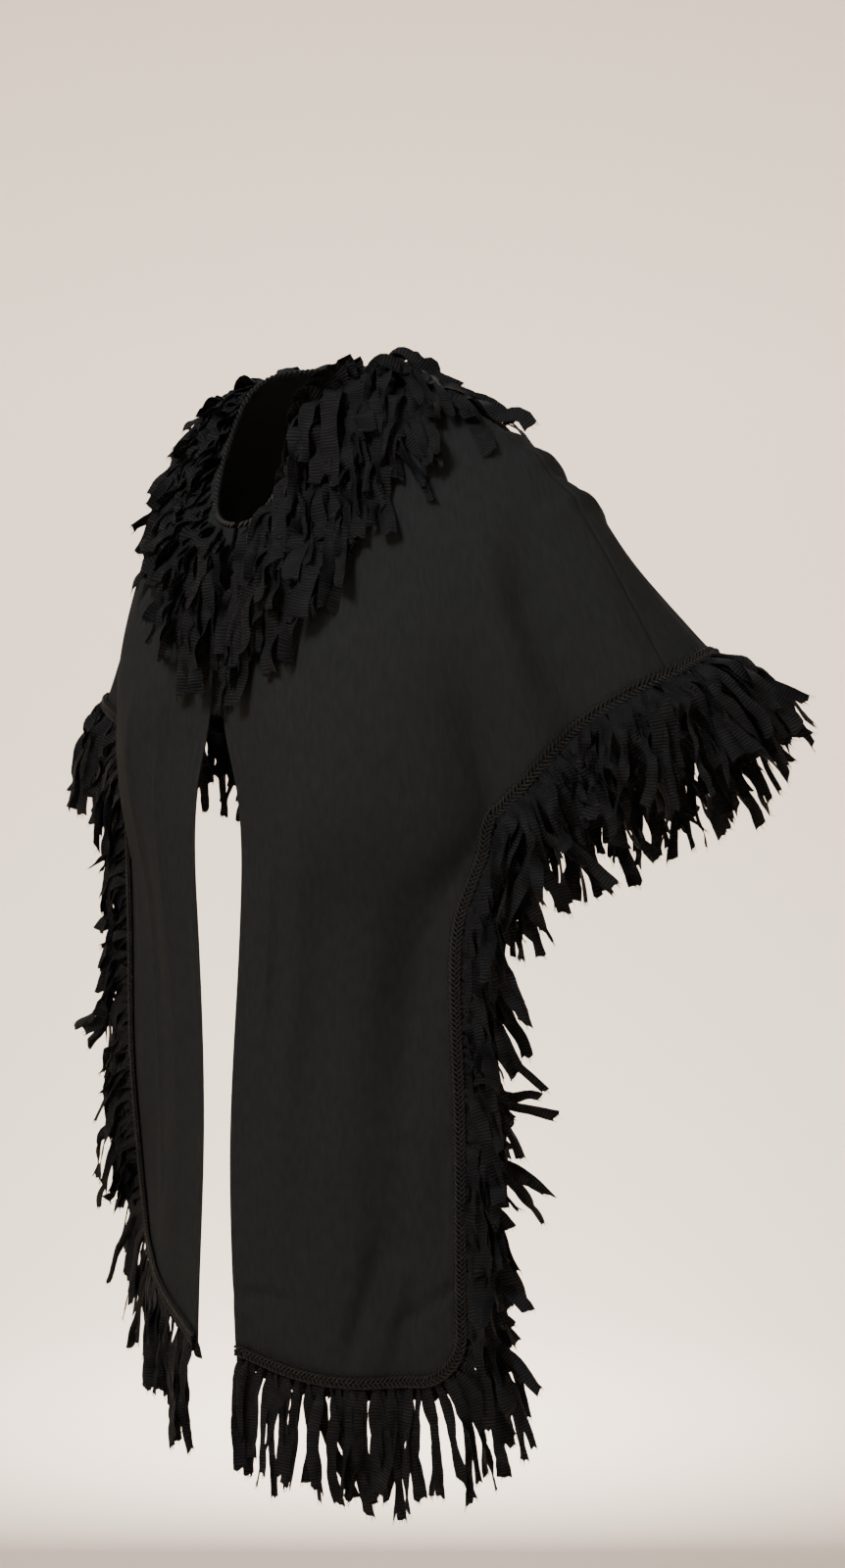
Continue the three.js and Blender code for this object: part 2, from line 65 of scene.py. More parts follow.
# One row a rib: its points on the neckline, the yoke, the shoulder line and the edge
RIBS = {
    "left": [
        [2, -73, -50, 4, -88, -112, 11, -97, -176, 24, -99, -240],
        [11, -68, -46, 45, -92, -108, 63, -105, -174, 80, -106, -240],
        [22, -60, -32, 84, -84, -94, 113, -99, -164, 142, -93, -240],
        [31, -48, -6, 110, -62, -56, 160, -74, -144, 204, -46, -243],
        [39, -36, 34, 126, -28, -8, 192, -24, -84, 260, 10, -170],
        [50, -12, 57, 134, 16, 25, 202, 36, -18, 286, 48, -147],
        [49, 16, 62, 124, 62, 24, 186, 90, -46, 277, 118, -138],
        [29, 36, 62, 72, 100, 8, 108, 138, -84, 165, 185, -218],
        [0, 44, 62, 0, 112, -2, 0, 150, -108, 0, 200, -265],
    ],
    "right": [
        [-2, -73, -50, -4, -88, -112, -6, -97, -176, -14, -99, -240],
        [-17, -70, -48, -46, -92, -110, -60, -102, -174, -68, -98, -240],
        [-32, -62, -42, -82, -82, -98, -102, -88, -170, -124, -70, -245],
        [-44, -50, -28, -104, -58, -68, -138, -56, -158, -170, -18, -250],
        [-54, -30, 2, -120, -24, -20, -160, -12, -108, -238, 38, -210],
        [-57, -4, 42, -128, 18, 16, -186, 42, -34, -292, 76, -194],
        [-51, 18, 58, -120, 62, 20, -182, 94, -48, -268, 136, -196],
        [-29, 36, 62, -72, 100, 8, -108, 138, -90, -165, 185, -236],
        [0, 44, 62, 0, 112, -2, 0, 150, -108, 0, 200, -265],
    ],
}

# One row a level of the stole: its front end, its side end, its forward bulge and its dip
STOLES = {
    "left": [
        [25, -100, -340, 186, -54, -325, 12, 0],
        [16, -101, -485, 188, -52, -470, 14, 0],
        [20, -101, -631, 192, -54, -628, 12, 10],
    ],
    "right": [
        [-16, -100, -350, -174, -14, -345, 7, 0],
        [-11, -101, -485, -171, -12, -470, 7, 0],
        [-19, -100, -634, -166, -12, -584, 6, 8],
    ],
}
HEM_CORNER = {"left": 32, "right": 40}

# One row a soft fold: its ends as rib and ring numbers, its half width and its height
BACK_FOLDS = [
    [6.1, 1.4, 6.3, 3.1, 18, -8],
    [6.9, 1.2, 7.2, 3.1, 16, 6],
    [7.6, 1.5, 7.75, 3.1, 15, -6],
]
FOLDS = {
    "left": [
        [3.6, 1.7, 2.3, 4.6, 24, -9],
        [4.35, 1.8, 3.7, 3.1, 22, -9],
        [2.3, 3.4, 2.2, 6.1, 22, -8.5],
        [1.2, 2.4, 0.8, 5.2, 14, 4.5],
        *BACK_FOLDS,
    ],
    "right": [
        [0.9, 1.8, 1.1, 6.1, 14, 1],
        [1.9, 1.6, 2.0, 6.1, 18, -1.5],
        [4.3, 1.9, 3.9, 3.1, 20, -6],
        *BACK_FOLDS,
    ],
}

# Finer creases, too small for the solids, in the same columns
CREASES = {
    "left": [
        [4.5, 1.42, 6.6, 1.38, 7, 3.6],
        [4.6, 1.74, 6.6, 1.70, 8, 4.4],
        [4.8, 1.93, 6.4, 1.88, 5, -3.6],
        [4.6, 2.12, 6.4, 2.07, 6, 4.2],
        [4.2, 1.6, 3.6, 2.7, 9, 2.2],
        [3.3, 2.2, 2.9, 3.3, 8, -2.5],
        [0.75, 3.0, 0.42, 4.7, 3.5, 3.2],
        [1.05, 4.0, 0.85, 4.8, 9, 1.8],
        [2.5, 3.8, 2.5, 4.95, 15, -3.0],
        [2.8, 4.8, 2.7, 5.55, 10, -2.6],
        [2.12, 5.3, 1.55, 6.0, 6, -4.8],
        [2.4, 5.4, 1.95, 5.98, 7, 3.4],
        [3.05, 5.56, 2.05, 5.8, 5, -3.4],
        [-0.1, 5.73, 1.1, 5.66, 5, -3.0],
        [7.2, 1.6, 7.5, 2.9, 8, 2.0],
        [5.55, 2.1, 5.95, 3.45, 15, -5.5],
        [4.75, 2.3, 4.6, 3.1, 9, 1.6],
    ],
    "right": [
        [0.72, 1.6, 0.9, 5.7, 3.6, 2.4],
        [1.45, 1.6, 1.6, 5.9, 4.5, 2.6],
        [2.3, 1.9, 2.4, 5.2, 7, 1.3],
        [3.8, 1.8, 3.3, 2.8, 8, 1.8],
        [4.6, 2.0, 4.5, 3.1, 8, 2.0],
        [5.7, 1.9, 5.8, 3.1, 10, 2.2],
        [7.3, 1.6, 7.4, 2.9, 8, 1.8],
        [0.3, 5.3, 1.6, 5.6, 8, 1.2],
    ],
}


# %% [markdown]
# ## Points, slopes and folds
# The curve through the table is a Catmull-Rom spline, taken first along the rings and then down the ribs.
# Folds are added along the surface's own normal, so a fold keeps its height wherever the cloth faces.
# They could be sculpted, but a row of numbers for each one is easier to move and to change.

# %% Curves through the tables
def unit(v):
    return v / np.maximum(np.linalg.norm(v, axis=-1, keepdims=True), 1e-9)


def smooth(x):
    t = np.clip(x, 0, 1)
    return t * t * (3 - 2 * t)


def stole_ring(row):
    share = np.arange(CORNER + 1) / CORNER
    swell = np.sin(np.pi * share)
    front, side = np.array(row[0:3]), np.array(row[3:6])
    points = front + (side - front) * share[:, None]
    points[:, 1] -= row[6] * swell
    points[:, 2] -= row[7] * swell
    return points


def with_ends(points, after=None):
    """A ring with one more point at each end, which the spline needs."""
    last = 2 * points[-1] - points[-2] if after is None else after
    return np.vstack([2 * points[0] - points[1], points, last])


def rings_of(side):
    rings = list(np.array(RIBS[side], float).reshape(BACK + 1, 4, 3).transpose(1, 0, 2))
    stole = [stole_ring(row) for row in STOLES[side]]
    below = np.vstack([stole[0], (2 * rings[EDGE] - rings[EDGE - 1])[CORNER + 1:]])
    return rings + [below], stole


ALL_RINGS = {side: rings_of(side) for side in SIGN}


def padded_rings(side):
    whole, stole = ALL_RINGS[side]
    facing = ALL_RINGS["right" if side == "left" else "left"][0]
    over = {i: with_ends(ring, facing[i][BACK - 1]) for i, ring in enumerate(whole)}
    under = {EDGE + 1 + i: with_ends(ring) for i, ring in enumerate(stole)}
    return over, under


PADDED = {side: padded_rings(side) for side in SIGN}


def spline(a, b, c, d, t):
    """The curve from b at t = 0 to c at t = 1, with a before it and d after it."""
    t = t[:, None]
    return 0.5 * (2 * b + (c - a) * t + (2 * a - 5 * b + 4 * c - d) * t ** 2
                  + (3 * b - a - 3 * c + d) * t ** 3)


def along_ring(side, ring, k):
    over, under = PADDED[side]
    stole = (k <= CORNER) if ring > EDGE else np.zeros(len(k), bool)
    out = np.empty((len(k), 3))
    for rings, mask in ((under, stole), (over, ~stole)):
        if mask.any():
            points = rings[ring]
            i = np.clip(np.floor(k[mask]).astype(int), 0, len(points) - 4)
            out[mask] = spline(*(points[i + j] for j in range(4)), k[mask] - i)
    return out


def base_point(side, k, s):
    i = np.clip(np.floor(s).astype(int), 0, np.where(k <= CORNER, HEM, EDGE) - 1)
    out = np.empty((len(k), 3))
    for ring in np.unique(i):
        mask = i == ring
        kk = k[mask]
        start, end = along_ring(side, ring, kk), along_ring(side, ring + 1, kk)
        before = along_ring(side, ring - 1, kk) if ring > NECK else 2 * start - end
        after = along_ring(side, ring + 2, kk) if ring + 2 <= HEM else 2 * end - start
        out[mask] = spline(before, start, end, after, s[mask] - ring)
    return out


# %% Slopes and the outward normal
def frame_at(point_of, side, k, s, step=0.01):
    """The point, its slopes round a ring and down a rib, and its outward normal."""
    dk = np.where(k + step > np.where(s > EDGE, CORNER, BACK), -step, step)
    ds = np.where(s > step, -step, step)
    p = point_of(side, k, s)
    around = (point_of(side, k + dk, s) - p) / dk[:, None]
    down = (point_of(side, k, s + ds) - p) / ds[:, None]
    return p, around, down, unit(np.cross(down, around)) * SIGN[side]


# %% Folds, creases and slack
FADE_IN, FADE_OUT = 0.35, 0.3  # the shares of a fold's length in which it rises and dies away
FOLD_REACH = 1.15  # a fold dies away a little past its end in the table


def fold_height(side, k, s, spacing):
    height = np.zeros(len(k))
    for k0, s0, k1, s1, width, rise in FOLDS[side]:
        t = (s - s0) / (s1 - s0)
        across = (k - (k0 + (k1 - k0) * t)) * spacing / width
        height += rise * smooth(t / FADE_IN) * smooth((FOLD_REACH - t) / FADE_OUT) * np.exp(-across ** 2)
    return height


def crease_height(side, k, s, spacing, fall):
    height = np.zeros(len(k))
    for k0, s0, k1, s1, width, rise in CREASES[side]:
        du, dv = (k - k0) * spacing, (s - s0) * fall
        lu, lv = (k1 - k0) * spacing, (s1 - s0) * fall
        t = (du * lu + dv * lv) / (lu ** 2 + lv ** 2)
        across = (du * lv - dv * lu) / np.hypot(lu, lv) / width
        height += rise * smooth(t / FADE_OUT) * smooth((1 - t) / FADE_OUT) * np.exp(-across ** 2)
    return height


# One row a wave of slack, each number from 0 to 1: its size, its waves round and down, and its start
SLACK_WAVES = np.random.default_rng(11).uniform(size=(9, 4))
FULL_TURN = 6.28


def slack(side, k, s):
    """The slight unevenness of cloth that nothing stretches."""
    turn = k if side == "left" else 2 * BACK - k
    height = np.zeros(len(k))
    for size, round_it, down_it, start in SLACK_WAVES:
        angle = (1 + 3.2 * round_it) * turn + (0.8 + 4 * down_it) * s + FULL_TURN * start
        height += (0.2 + 0.4 * size) * np.sin(angle)
    return height * smooth(s / 0.6)


# %% The finished surface
HEM_TURN = 11  # how far in from the front edge the turned-in hem reaches


def edge_relief(side, k, s, spacing):
    """The turned hem down each front edge stands up a little, and the seam's two edges roll in."""
    from_front = k * spacing
    hem = 0.5 * smooth((HEM_TURN + 1 - from_front) / 1.6)
    stitches = -0.45 * np.exp(-((from_front - HEM_TURN + 1) / 0.9) ** 2)
    rolled = -0.6 * np.exp(-((k - SEAM) * spacing / 1.5) ** 2)
    pressed = 0.15 * np.exp(-((np.abs(k - SEAM) * spacing - 5) / 3.0) ** 2)
    return hem + stitches + np.where(s <= EDGE, rolled + pressed, 0)


def cloth_point(side, k, s):
    p, around, down, normal = frame_at(base_point, side, k, s)
    spacing, fall = np.linalg.norm(around, axis=1), np.linalg.norm(down, axis=1)
    height = fold_height(side, k, s, spacing) + crease_height(side, k, s, spacing, fall)
    height += slack(side, k, s) + edge_relief(side, k, s, spacing)
    return p + normal * height[:, None]


def cloth_frame(side, k, s):
    return frame_at(cloth_point, side, np.asarray(k, float), np.asarray(s, float))


edge_points = cloth_frame("left", [FRONT, CORNER, SEAM], [EDGE, EDGE, EDGE])[0]
print("edge at the centre front, the corner and the seam, mm:", edge_points.round(1).tolist())


# %% [markdown]
# ## Making a piece
# Every piece is a mesh made from lists of points and faces, with a map in millimetres of cloth, so a
# weave or rib keeps its real size on it. Modifiers could bend flat strips into shape, but hundreds of
# them would be slow, and numpy works such lists out in a few seconds. A piece rides on the part's one
# body.

# %% A mesh from points, faces and a cloth map
def make_piece(name, points, faces, cloth_map, slot, replaces=(), sharp=50):
    mesh = bpy.data.meshes.new(name)
    points = np.asarray(points, float) * MM
    faces = np.asarray(faces, np.int32)
    mesh.vertices.add(len(points))
    mesh.vertices.foreach_set("co", points.ravel())
    mesh.loops.add(faces.size)
    mesh.loops.foreach_set("vertex_index", faces.ravel())
    mesh.polygons.add(len(faces))
    mesh.polygons.foreach_set("loop_start", np.arange(0, faces.size, faces.shape[1]))
    mesh.update(calc_edges=True)
    layer = mesh.uv_layers.new(name="cloth")
    layer.data.foreach_set("uv", np.asarray(cloth_map, float)[faces.ravel()].ravel())
    mesh.polygons.foreach_set("use_smooth", np.ones(len(faces), bool))
    mesh.set_sharp_from_angle(angle=math.radians(sharp))
    piece = bpy.data.objects.new(name, mesh)
    bpy.context.collection.objects.link(piece)
    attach(piece, "root")
    if replaces:
        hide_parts(*replaces)
    return piece


def triangles(piece):
    return sum(len(face.vertices) - 2 for face in piece.data.polygons)


# %% [markdown]
# ## The two fronts and the back
# Each panel is cut in one piece of fine wool. It is modelled as a thin closed wall: an outer face, an
# inner face 1.2 mm under it, and a strip round the raw edge. A Solidify modifier could add the thickness,
# but here the two faces have to end exactly on the seams. The back is one short piece, and meets the
# fronts at the shoulder seams.

# %% A thin wall of cloth
CLOTH_THICKNESS = 1.2
SEAM_GAP = 0.2  # so that the panels' edges never lie in one place
ROWS = 76  # from the neckline to the short edge
STOLE_ROWS = 101  # from there to the stole's hem
STOLE_MAP_FROM = 250  # millimetres down the cloth map


def wall(points, normals, quads, cloth_map):
    count = len(points)
    both = np.vstack([points, points - normals * CLOTH_THICKNESS])
    inner = quads[:, ::-1] + count
    edges = np.vstack([quads[:, [i, (i + 1) % 4]] for i in range(4)])
    known = set(map(tuple, edges.tolist()))
    rim = np.array([e for e in edges.tolist() if (e[1], e[0]) not in known])
    strip = np.column_stack([rim[:, 1], rim[:, 0], rim[:, 0] + count, rim[:, 1] + count])
    return both, np.vstack([quads, inner, strip]), np.vstack([cloth_map, cloth_map])


# %% The lower edges
def hem_measures(side):
    _, _, down, _ = cloth_frame(side, [CORNER], [HEM - 0.1])
    _, around, _, _ = cloth_frame(side, [CORNER - 0.1], [HEM - 0.1])
    return np.linalg.norm(around), np.linalg.norm(down)


HEM_MEASURES = {side: hem_measures(side) for side in SIGN}


def hem_at(side, k):
    """The hem's ring number on a rib: level, and rounded up at the stole's outer corner."""
    spacing, fall = HEM_MEASURES[side]
    radius = HEM_CORNER[side]
    inwards = np.maximum(radius - (CORNER - np.asarray(k, float)) * spacing, 0)
    return HEM - (radius - np.sqrt(np.maximum(radius ** 2 - inwards ** 2, 0))) / fall


def arm_edge(side, k):
    """The edge's ring number over the arm. The left one rises a little just past the stole's corner."""
    k = np.asarray(k, float)
    rise = 0.066 if side == "left" else 0.0
    return EDGE - rise * np.exp(-((k - 3.53) / 0.34) ** 2) * smooth((k - CORNER) / 0.25)


# %% Grids of faces and their cloth map
def grid_quads(rows, columns, first=0, stride=None):
    stride = stride or columns
    r, c = np.meshgrid(np.arange(rows - 1), np.arange(columns - 1), indexing="ij")
    a = (first + r * stride + c).ravel()
    return np.column_stack([a, a + stride, a + stride + 1, a + 1])


def run_along(paths):
    """Millimetres along each path from its first point."""
    run = np.linalg.norm(np.diff(paths, axis=-2), axis=-1).cumsum(axis=-1)
    return np.concatenate([np.zeros_like(run[..., :1]), run], axis=-1)


def arc_map(points, rows, columns):
    """Millimetres along each row from its first point, and down each column from its top."""
    grid = points.reshape(rows, columns, 3)
    down = run_along(grid.transpose(1, 0, 2)).T
    return np.column_stack([run_along(grid).ravel(), down.ravel()])


# %% The fronts
def front_columns():
    near = np.array([0, 0.03, 0.06, 0.09, 0.12, 0.15, 0.18, 0.21, 0.25])
    middle = np.linspace(0.3, 2.55, 50)
    corner = np.linspace(2.6, 3, 17)
    arm = np.linspace(3, 4.85, 42)[1:]
    seam = np.array([4.89, 4.92, 4.95, 4.965, 4.98, 4.99, 5])
    return np.concatenate([near, middle, corner]), np.concatenate([arm, seam])


def front_panel(side):
    stole_k, arm_k = front_columns()
    k = np.concatenate([stole_k, arm_k])
    s = np.linspace(NECK, EDGE, ROWS)
    kk, ss = np.tile(k, len(s)), np.repeat(s, len(k))
    ss = ss * arm_edge(side, kk) / EDGE
    share = np.linspace(0, 1, STOLE_ROWS)[1:]
    hem = hem_at(side, stole_k)
    kk2 = np.tile(stole_k, len(share))
    ss2 = (EDGE + (hem[None, :] - EDGE) * share[:, None]).ravel()
    p, around, _, normal = cloth_frame(side, np.concatenate([kk, kk2]), np.concatenate([ss, ss2]))
    seam = np.concatenate([kk == SEAM, np.zeros(len(kk2), bool)])
    p[seam] -= unit(around[seam]) * SEAM_GAP
    upper = grid_quads(len(s), len(k))
    start = len(kk)
    lower = grid_quads(len(share), len(stole_k), first=start)
    columns = np.arange(len(stole_k) - 1)
    top = (len(s) - 1) * len(k) + columns
    join = np.column_stack([top, start + columns, start + columns + 1, top + 1])
    quads = np.vstack([upper, join, lower])
    if side == "right":
        quads = quads[:, ::-1]
    flat = np.vstack([
        arc_map(p[:start], len(s), len(k)),
        arc_map(p[start:], len(share), len(stole_k)) + [0, STOLE_MAP_FROM],
    ])
    return wall(p, normal, quads, flat)


# %% The back
def back_panel():
    half = np.concatenate([[5, 5.01, 5.02, 5.035, 5.05, 5.08, 5.11], np.linspace(5.15, 8, 74)])
    s = np.linspace(NECK, EDGE, ROWS)
    grids = {}
    for side in SIGN:
        k = half if side == "left" else half[:-1][::-1]
        p, around, _, normal = cloth_frame(side, np.tile(k, len(s)), np.repeat(s, len(k)))
        seam = np.tile(k == SEAM, len(s))
        p[seam] += unit(around[seam]) * SEAM_GAP
        shape = (len(s), len(k), 3)
        grids[side] = (p.reshape(shape), normal.reshape(shape))
    p = np.concatenate([grids["left"][0], grids["right"][0]], axis=1)
    normal = np.concatenate([grids["left"][1], grids["right"][1]], axis=1)
    rows, columns = p.shape[:2]
    p, normal = p.reshape(-1, 3), normal.reshape(-1, 3)
    return wall(p, normal, grid_quads(rows, columns), arc_map(p, rows, columns))


# %% The shoulder seams' pressed-open edges
def tape(p, sideways, outwards, corners):
    """A flat strip along a row of points. corners are its four corners, sideways and outwards of them."""
    points = np.stack([p + sideways * x + outwards * y for x, y in corners], axis=1).reshape(-1, 3)
    row, corner = np.arange(len(p) - 1)[:, None] * 4, np.arange(4)
    a, b = (row + corner).ravel(), (row + (corner + 1) % 4).ravel()
    return points, np.column_stack([a, b, b + 4, a + 4])


SEAM_ALLOWANCE = 8
ALLOWANCE_TOP, ALLOWANCE_BOTTOM = -1.4, -1.9  # just under the cloth's inner face
ALLOWANCE_ROWS = 90


def seam_allowance(side):
    """The two raw edges of a shoulder seam, pressed open on the inside."""
    rows = np.linspace(0.02, EDGE - 0.02, ALLOWANCE_ROWS)
    p, around, _, normal = cloth_frame(side, np.full(len(rows), float(SEAM)), rows)
    wide = np.array([-SEAM_ALLOWANCE, SEAM_ALLOWANCE, SEAM_ALLOWANCE, -SEAM_ALLOWANCE])
    high = [ALLOWANCE_BOTTOM, ALLOWANCE_BOTTOM, ALLOWANCE_TOP, ALLOWANCE_TOP]
    points, quads = tape(p, unit(around), normal, list(zip(wide, high)))
    return points, quads, np.column_stack([np.tile(wide, len(rows)), np.repeat(rows * ALLOWANCE_ROWS, 4)])


# %% Make the panels
def joined(parts):
    points, faces, maps, start = [], [], [], 0
    for p, f, m in parts:
        points.append(p)
        faces.append(np.asarray(f) + start)
        maps.append(m)
        start += len(p)
    return np.vstack(points), np.vstack(faces), np.vstack(maps)


cloth = {}
for side in SIGN:
    name = "front_" + side
    cloth[name] = make_piece("cloth_" + name, *front_panel(side), "wool_cloth", [name])
back_parts = joined([back_panel()] + [seam_allowance(side) for side in SIGN])
cloth["back"] = make_piece("cloth_back", *back_parts, "wool_cloth", ["back"])
for name, piece in cloth.items():
    print(name, "triangles", triangles(piece))


# %% [markdown]
# ## Lines on the cloth
# Braid, fringe, ruff and binding all follow a line that is drawn on the cloth. Each place on a line has a
# tangent along it, an outward direction across it, away from the neck, and the cloth's normal.

# %% Lines and places on them
def line_on_cloth(stretches):
    """Frames along a line, given as (side, ribs, rings) stretches that run anticlockwise from above."""
    parts = [cloth_frame(side, k, s) for side, k, s in stretches]
    p = np.vstack([part[0] for part in parts])
    normal = np.vstack([part[3] for part in parts])
    keep = np.concatenate([[True], np.linalg.norm(np.diff(p, axis=0), axis=1) > 1e-3])
    p, normal = p[keep], normal[keep]
    tangent = unit(np.gradient(p, axis=0))
    out = unit(np.cross(tangent, normal))
    return {"p": p, "normal": unit(normal), "tangent": tangent, "out": out}


def length_of(line):
    return run_along(line["p"])[-1]


def places(line, distances):
    run = run_along(line["p"])
    mixed = {
        name: np.column_stack([np.interp(distances, run, values[:, axis]) for axis in range(3)])
        for name, values in line.items()
    }
    return {name: v if name == "p" else unit(v) for name, v in mixed.items()}


# %% The stretches of the lower edge
def side_stretches(side):
    k_hem = np.concatenate([np.linspace(0.02, 2.28, 50), CORNER - 0.7 * np.linspace(1, 0.01, 48) ** 2.2])
    low = float(hem_at(side, CORNER))
    rows = np.linspace(low, EDGE + 0.1, 140)
    k_arm = np.linspace(3.06, 4.99, 70)
    hem = (side, k_hem, hem_at(side, k_hem))
    up = (side, np.full(len(rows), float(CORNER)), rows)
    arm = (side, k_arm, arm_edge(side, k_arm))
    return {"hem": hem, "side": up, "arm": arm}


def reverse(stretch):
    side, k, s = stretch
    return side, k[::-1], s[::-1]


STRETCHES = {side: side_stretches(side) for side in SIGN}
k_back = np.linspace(SEAM + 0.01, BACK, 130)
s_back = np.full(len(k_back), float(EDGE))
EDGE_PARTS = {}
for part in ("hem", "side", "arm"):
    EDGE_PARTS[part + "_left"] = line_on_cloth([STRETCHES["left"][part]])
    EDGE_PARTS[part + "_right"] = line_on_cloth([reverse(STRETCHES["right"][part])])
EDGE_PARTS["back"] = line_on_cloth([("left", k_back, s_back), ("right", k_back[::-1], s_back)])
for name, line in EDGE_PARTS.items():
    print(name, "edge length mm", round(length_of(line)))


# %% [markdown]
# ## The braid
# The braid is a flat plait of five cords, about 9 mm wide, with small thread loops along its upper edge.
# It covers the raw edge and the gathered heads of the ribbons. Each cord weaves from side to side once in
# 17 mm, and rises and dips twice in that length to pass over and under its neighbours. A flat band with
# a picture of a plait would do from far off, but raised cords catch the light and cast small shadows.

# %% The braid's sizes
CORDS = 5
CORD_RADIUS = 0.95
# The cord material paints each cord lightest at 0 on this map, as painted highlight, and darkest elsewhere, as
# painted shade.
CORD_GIRTH = 4.0  # every cord's map is this wide, so that 0 is the middle of what shows
PLAIT_REACH = 3.6  # how far each cord goes to either side
PLAIT_LENGTH = 17.0  # the real plait is finer, and is drawn coarse enough to show
PLAIT_DEPTH = 0.85
PLAIT_STEP = 0.78
LOOP_PITCH = 3.6
LOOP_WIDTH, LOOP_LENGTH = 1.5, 2.4
THREAD_RADIUS = 0.34


# %% Round tubes along paths
def tubes(paths, radius, sides, faces_out):
    """Round tubes along paths of shape (tubes, points, 3). faces_out is a direction across each point."""
    n, m = paths.shape[:2]
    tangent = unit(np.gradient(paths, axis=1))
    first = unit(faces_out - (faces_out * tangent).sum(-1, keepdims=True) * tangent)
    second = np.cross(tangent, first)
    angle = np.arange(sides) * 2 * np.pi / sides
    ring = first[:, :, None] * np.cos(angle)[:, None] + second[:, :, None] * np.sin(angle)[:, None]
    points = (paths[:, :, None] + ring * radius).reshape(-1, 3)
    base = (np.arange(n)[:, None, None] * m + np.arange(m - 1)[None, :, None]) * sides
    j = np.arange(sides)[None, None, :]
    a, b = (base + j).ravel(), (base + (j + 1) % sides).ravel()
    faces = np.column_stack([a, b, b + sides, a + sides])
    u = np.broadcast_to(angle / (2 * np.pi) * CORD_GIRTH, (n, m, sides))
    v = np.broadcast_to(run_along(paths)[:, :, None], (n, m, sides))
    return points, faces, np.column_stack([u.ravel(), v.ravel()])


# %% Plait, thread loops and backing
def plait(line, middle, lift):
    length = length_of(line)
    at = np.linspace(0, length, int(length / PLAIT_STEP))
    f = places(line, at)
    phase = 2 * np.pi * at / PLAIT_LENGTH
    paths = []
    for cord in range(CORDS):
        turn = phase + cord * 2 * np.pi / CORDS
        across = middle + PLAIT_REACH * np.sin(turn)
        height = lift + PLAIT_DEPTH * np.sin(2 * turn)
        paths.append(f["p"] + f["out"] * across[:, None] + f["normal"] * height[:, None])
    faces_out = np.broadcast_to(f["normal"], (CORDS,) + f["normal"].shape)
    return tubes(np.array(paths), CORD_RADIUS, 5, faces_out)


def loops(line, middle, lift):
    count = int(length_of(line) / LOOP_PITCH)
    f = places(line, (np.arange(count) + 0.5) * LOOP_PITCH)
    angle = np.linspace(-0.2, np.pi + 0.2, 7)
    along, out = LOOP_WIDTH * np.cos(angle), -LOOP_LENGTH * np.sin(angle)
    paths = (f["p"][:, None] + f["tangent"][:, None] * along[:, None]
             + f["out"][:, None] * (middle + out)[:, None] + f["normal"][:, None] * lift)
    faces_out = np.broadcast_to(f["normal"][:, None], paths.shape)
    return tubes(paths, THREAD_RADIUS, 4, faces_out)


def backing(line, middle, half, low, high):
    """A plain tape under the plait, so that no light passes between its cords."""
    at = np.linspace(0, length_of(line), int(length_of(line) / 4))
    f = places(line, at)
    left, right = middle - half, middle + half
    corners = [(left, low), (right, low), (right, high), (left, high)]
    points, faces = tape(f["p"], f["out"], f["normal"], corners)
    # The tape's map sits halfway round a cord's map, so the cord material paints it darkest: painted shade
    # between the cords.
    return points, faces, np.column_stack([np.full(4 * len(at), CORD_GIRTH / 2), np.repeat(at, 4)])


# %% Sew the braid on
BRAID_MIDDLE = -1.8  # all of these are measured from the cloth's edge and its outer face
TAPE_HALF, TAPE_LOW, TAPE_HIGH = 3.9, 1.0, 1.7
PLAIT_LIFT = 2.6
LOOPS_MIDDLE, LOOPS_LIFT = BRAID_MIDDLE - 3.7, 2.2
whole_edges = {
    "left": line_on_cloth([STRETCHES["left"][part] for part in ("hem", "side", "arm")]),
    "right": line_on_cloth([reverse(STRETCHES["right"][part]) for part in ("arm", "side", "hem")]),
    "back": EDGE_PARTS["back"],
}
braids = {}
for name, line in whole_edges.items():
    parts = joined([
        backing(line, BRAID_MIDDLE, TAPE_HALF, TAPE_LOW, TAPE_HIGH),
        plait(line, BRAID_MIDDLE, PLAIT_LIFT),
        loops(line, LOOPS_MIDDLE, LOOPS_LIFT),
    ])
    braids[name] = make_piece("braid_" + name, *parts, "ribbon")
    print("braid", name, "triangles", triangles(braids[name]))


# %% [markdown]
# ## Ribbons
# The fringe is cut from one kind of ribbon: thin, crisp, ribbed across, and 6 to 15 mm wide. Each length is
# pinched into a pleat under the braid, opens out below it, and keeps a twist and a slight curl of its
# own. The cut ends have frayed, so a few loose threads stand out past each one. Hair curves could give the
# number, but not the flat faces and lengthwise folds by which a ribbon is known.

# %% The ribbon's sizes
RIBBON_WIDTH = 11.5
RIBBON_THICKNESS = 0.28
ACROSS = np.linspace(-1, 1, 5)  # places across a ribbon's width
STEPS = 20  # places along its length
DOWN = np.array([0.0, 0.0, -1.0])


# %% How a ribbon turns, widens and folds along its length
def rotate_about(v, axis, angle):
    angle = angle[..., None]
    return v * np.cos(angle) + np.cross(axis, v) * np.sin(angle)


def any_start(rng, n):
    """Where in its turn each ribbon's wave starts."""
    return rng.uniform(0, 6.3, (n, 1))


def turned_faces(faces_up, direction, share, rng, twist, crumple):
    """The way each ribbon faces all along: as at its head at first, then twisted once and rolled a little."""
    n = len(faces_up)
    face = unit(faces_up[:, None] - (faces_up[:, None] * direction).sum(-1, keepdims=True) * direction)
    turn_from = rng.uniform(0.12, 0.45, (n, 1))
    turning = twist[:, None] * smooth((share - turn_from) / rng.uniform(0.2, 0.5, (n, 1)))
    size = rng.normal(0, 0.25 * crumple, (n, 1))
    rolling = size * np.sin(rng.uniform(5, 14, (n, 1)) * share + any_start(rng, n))
    return rotate_about(face, direction, turning + rolling * smooth(share * 4) + rng.normal(0, 0.14, (n, 1)))


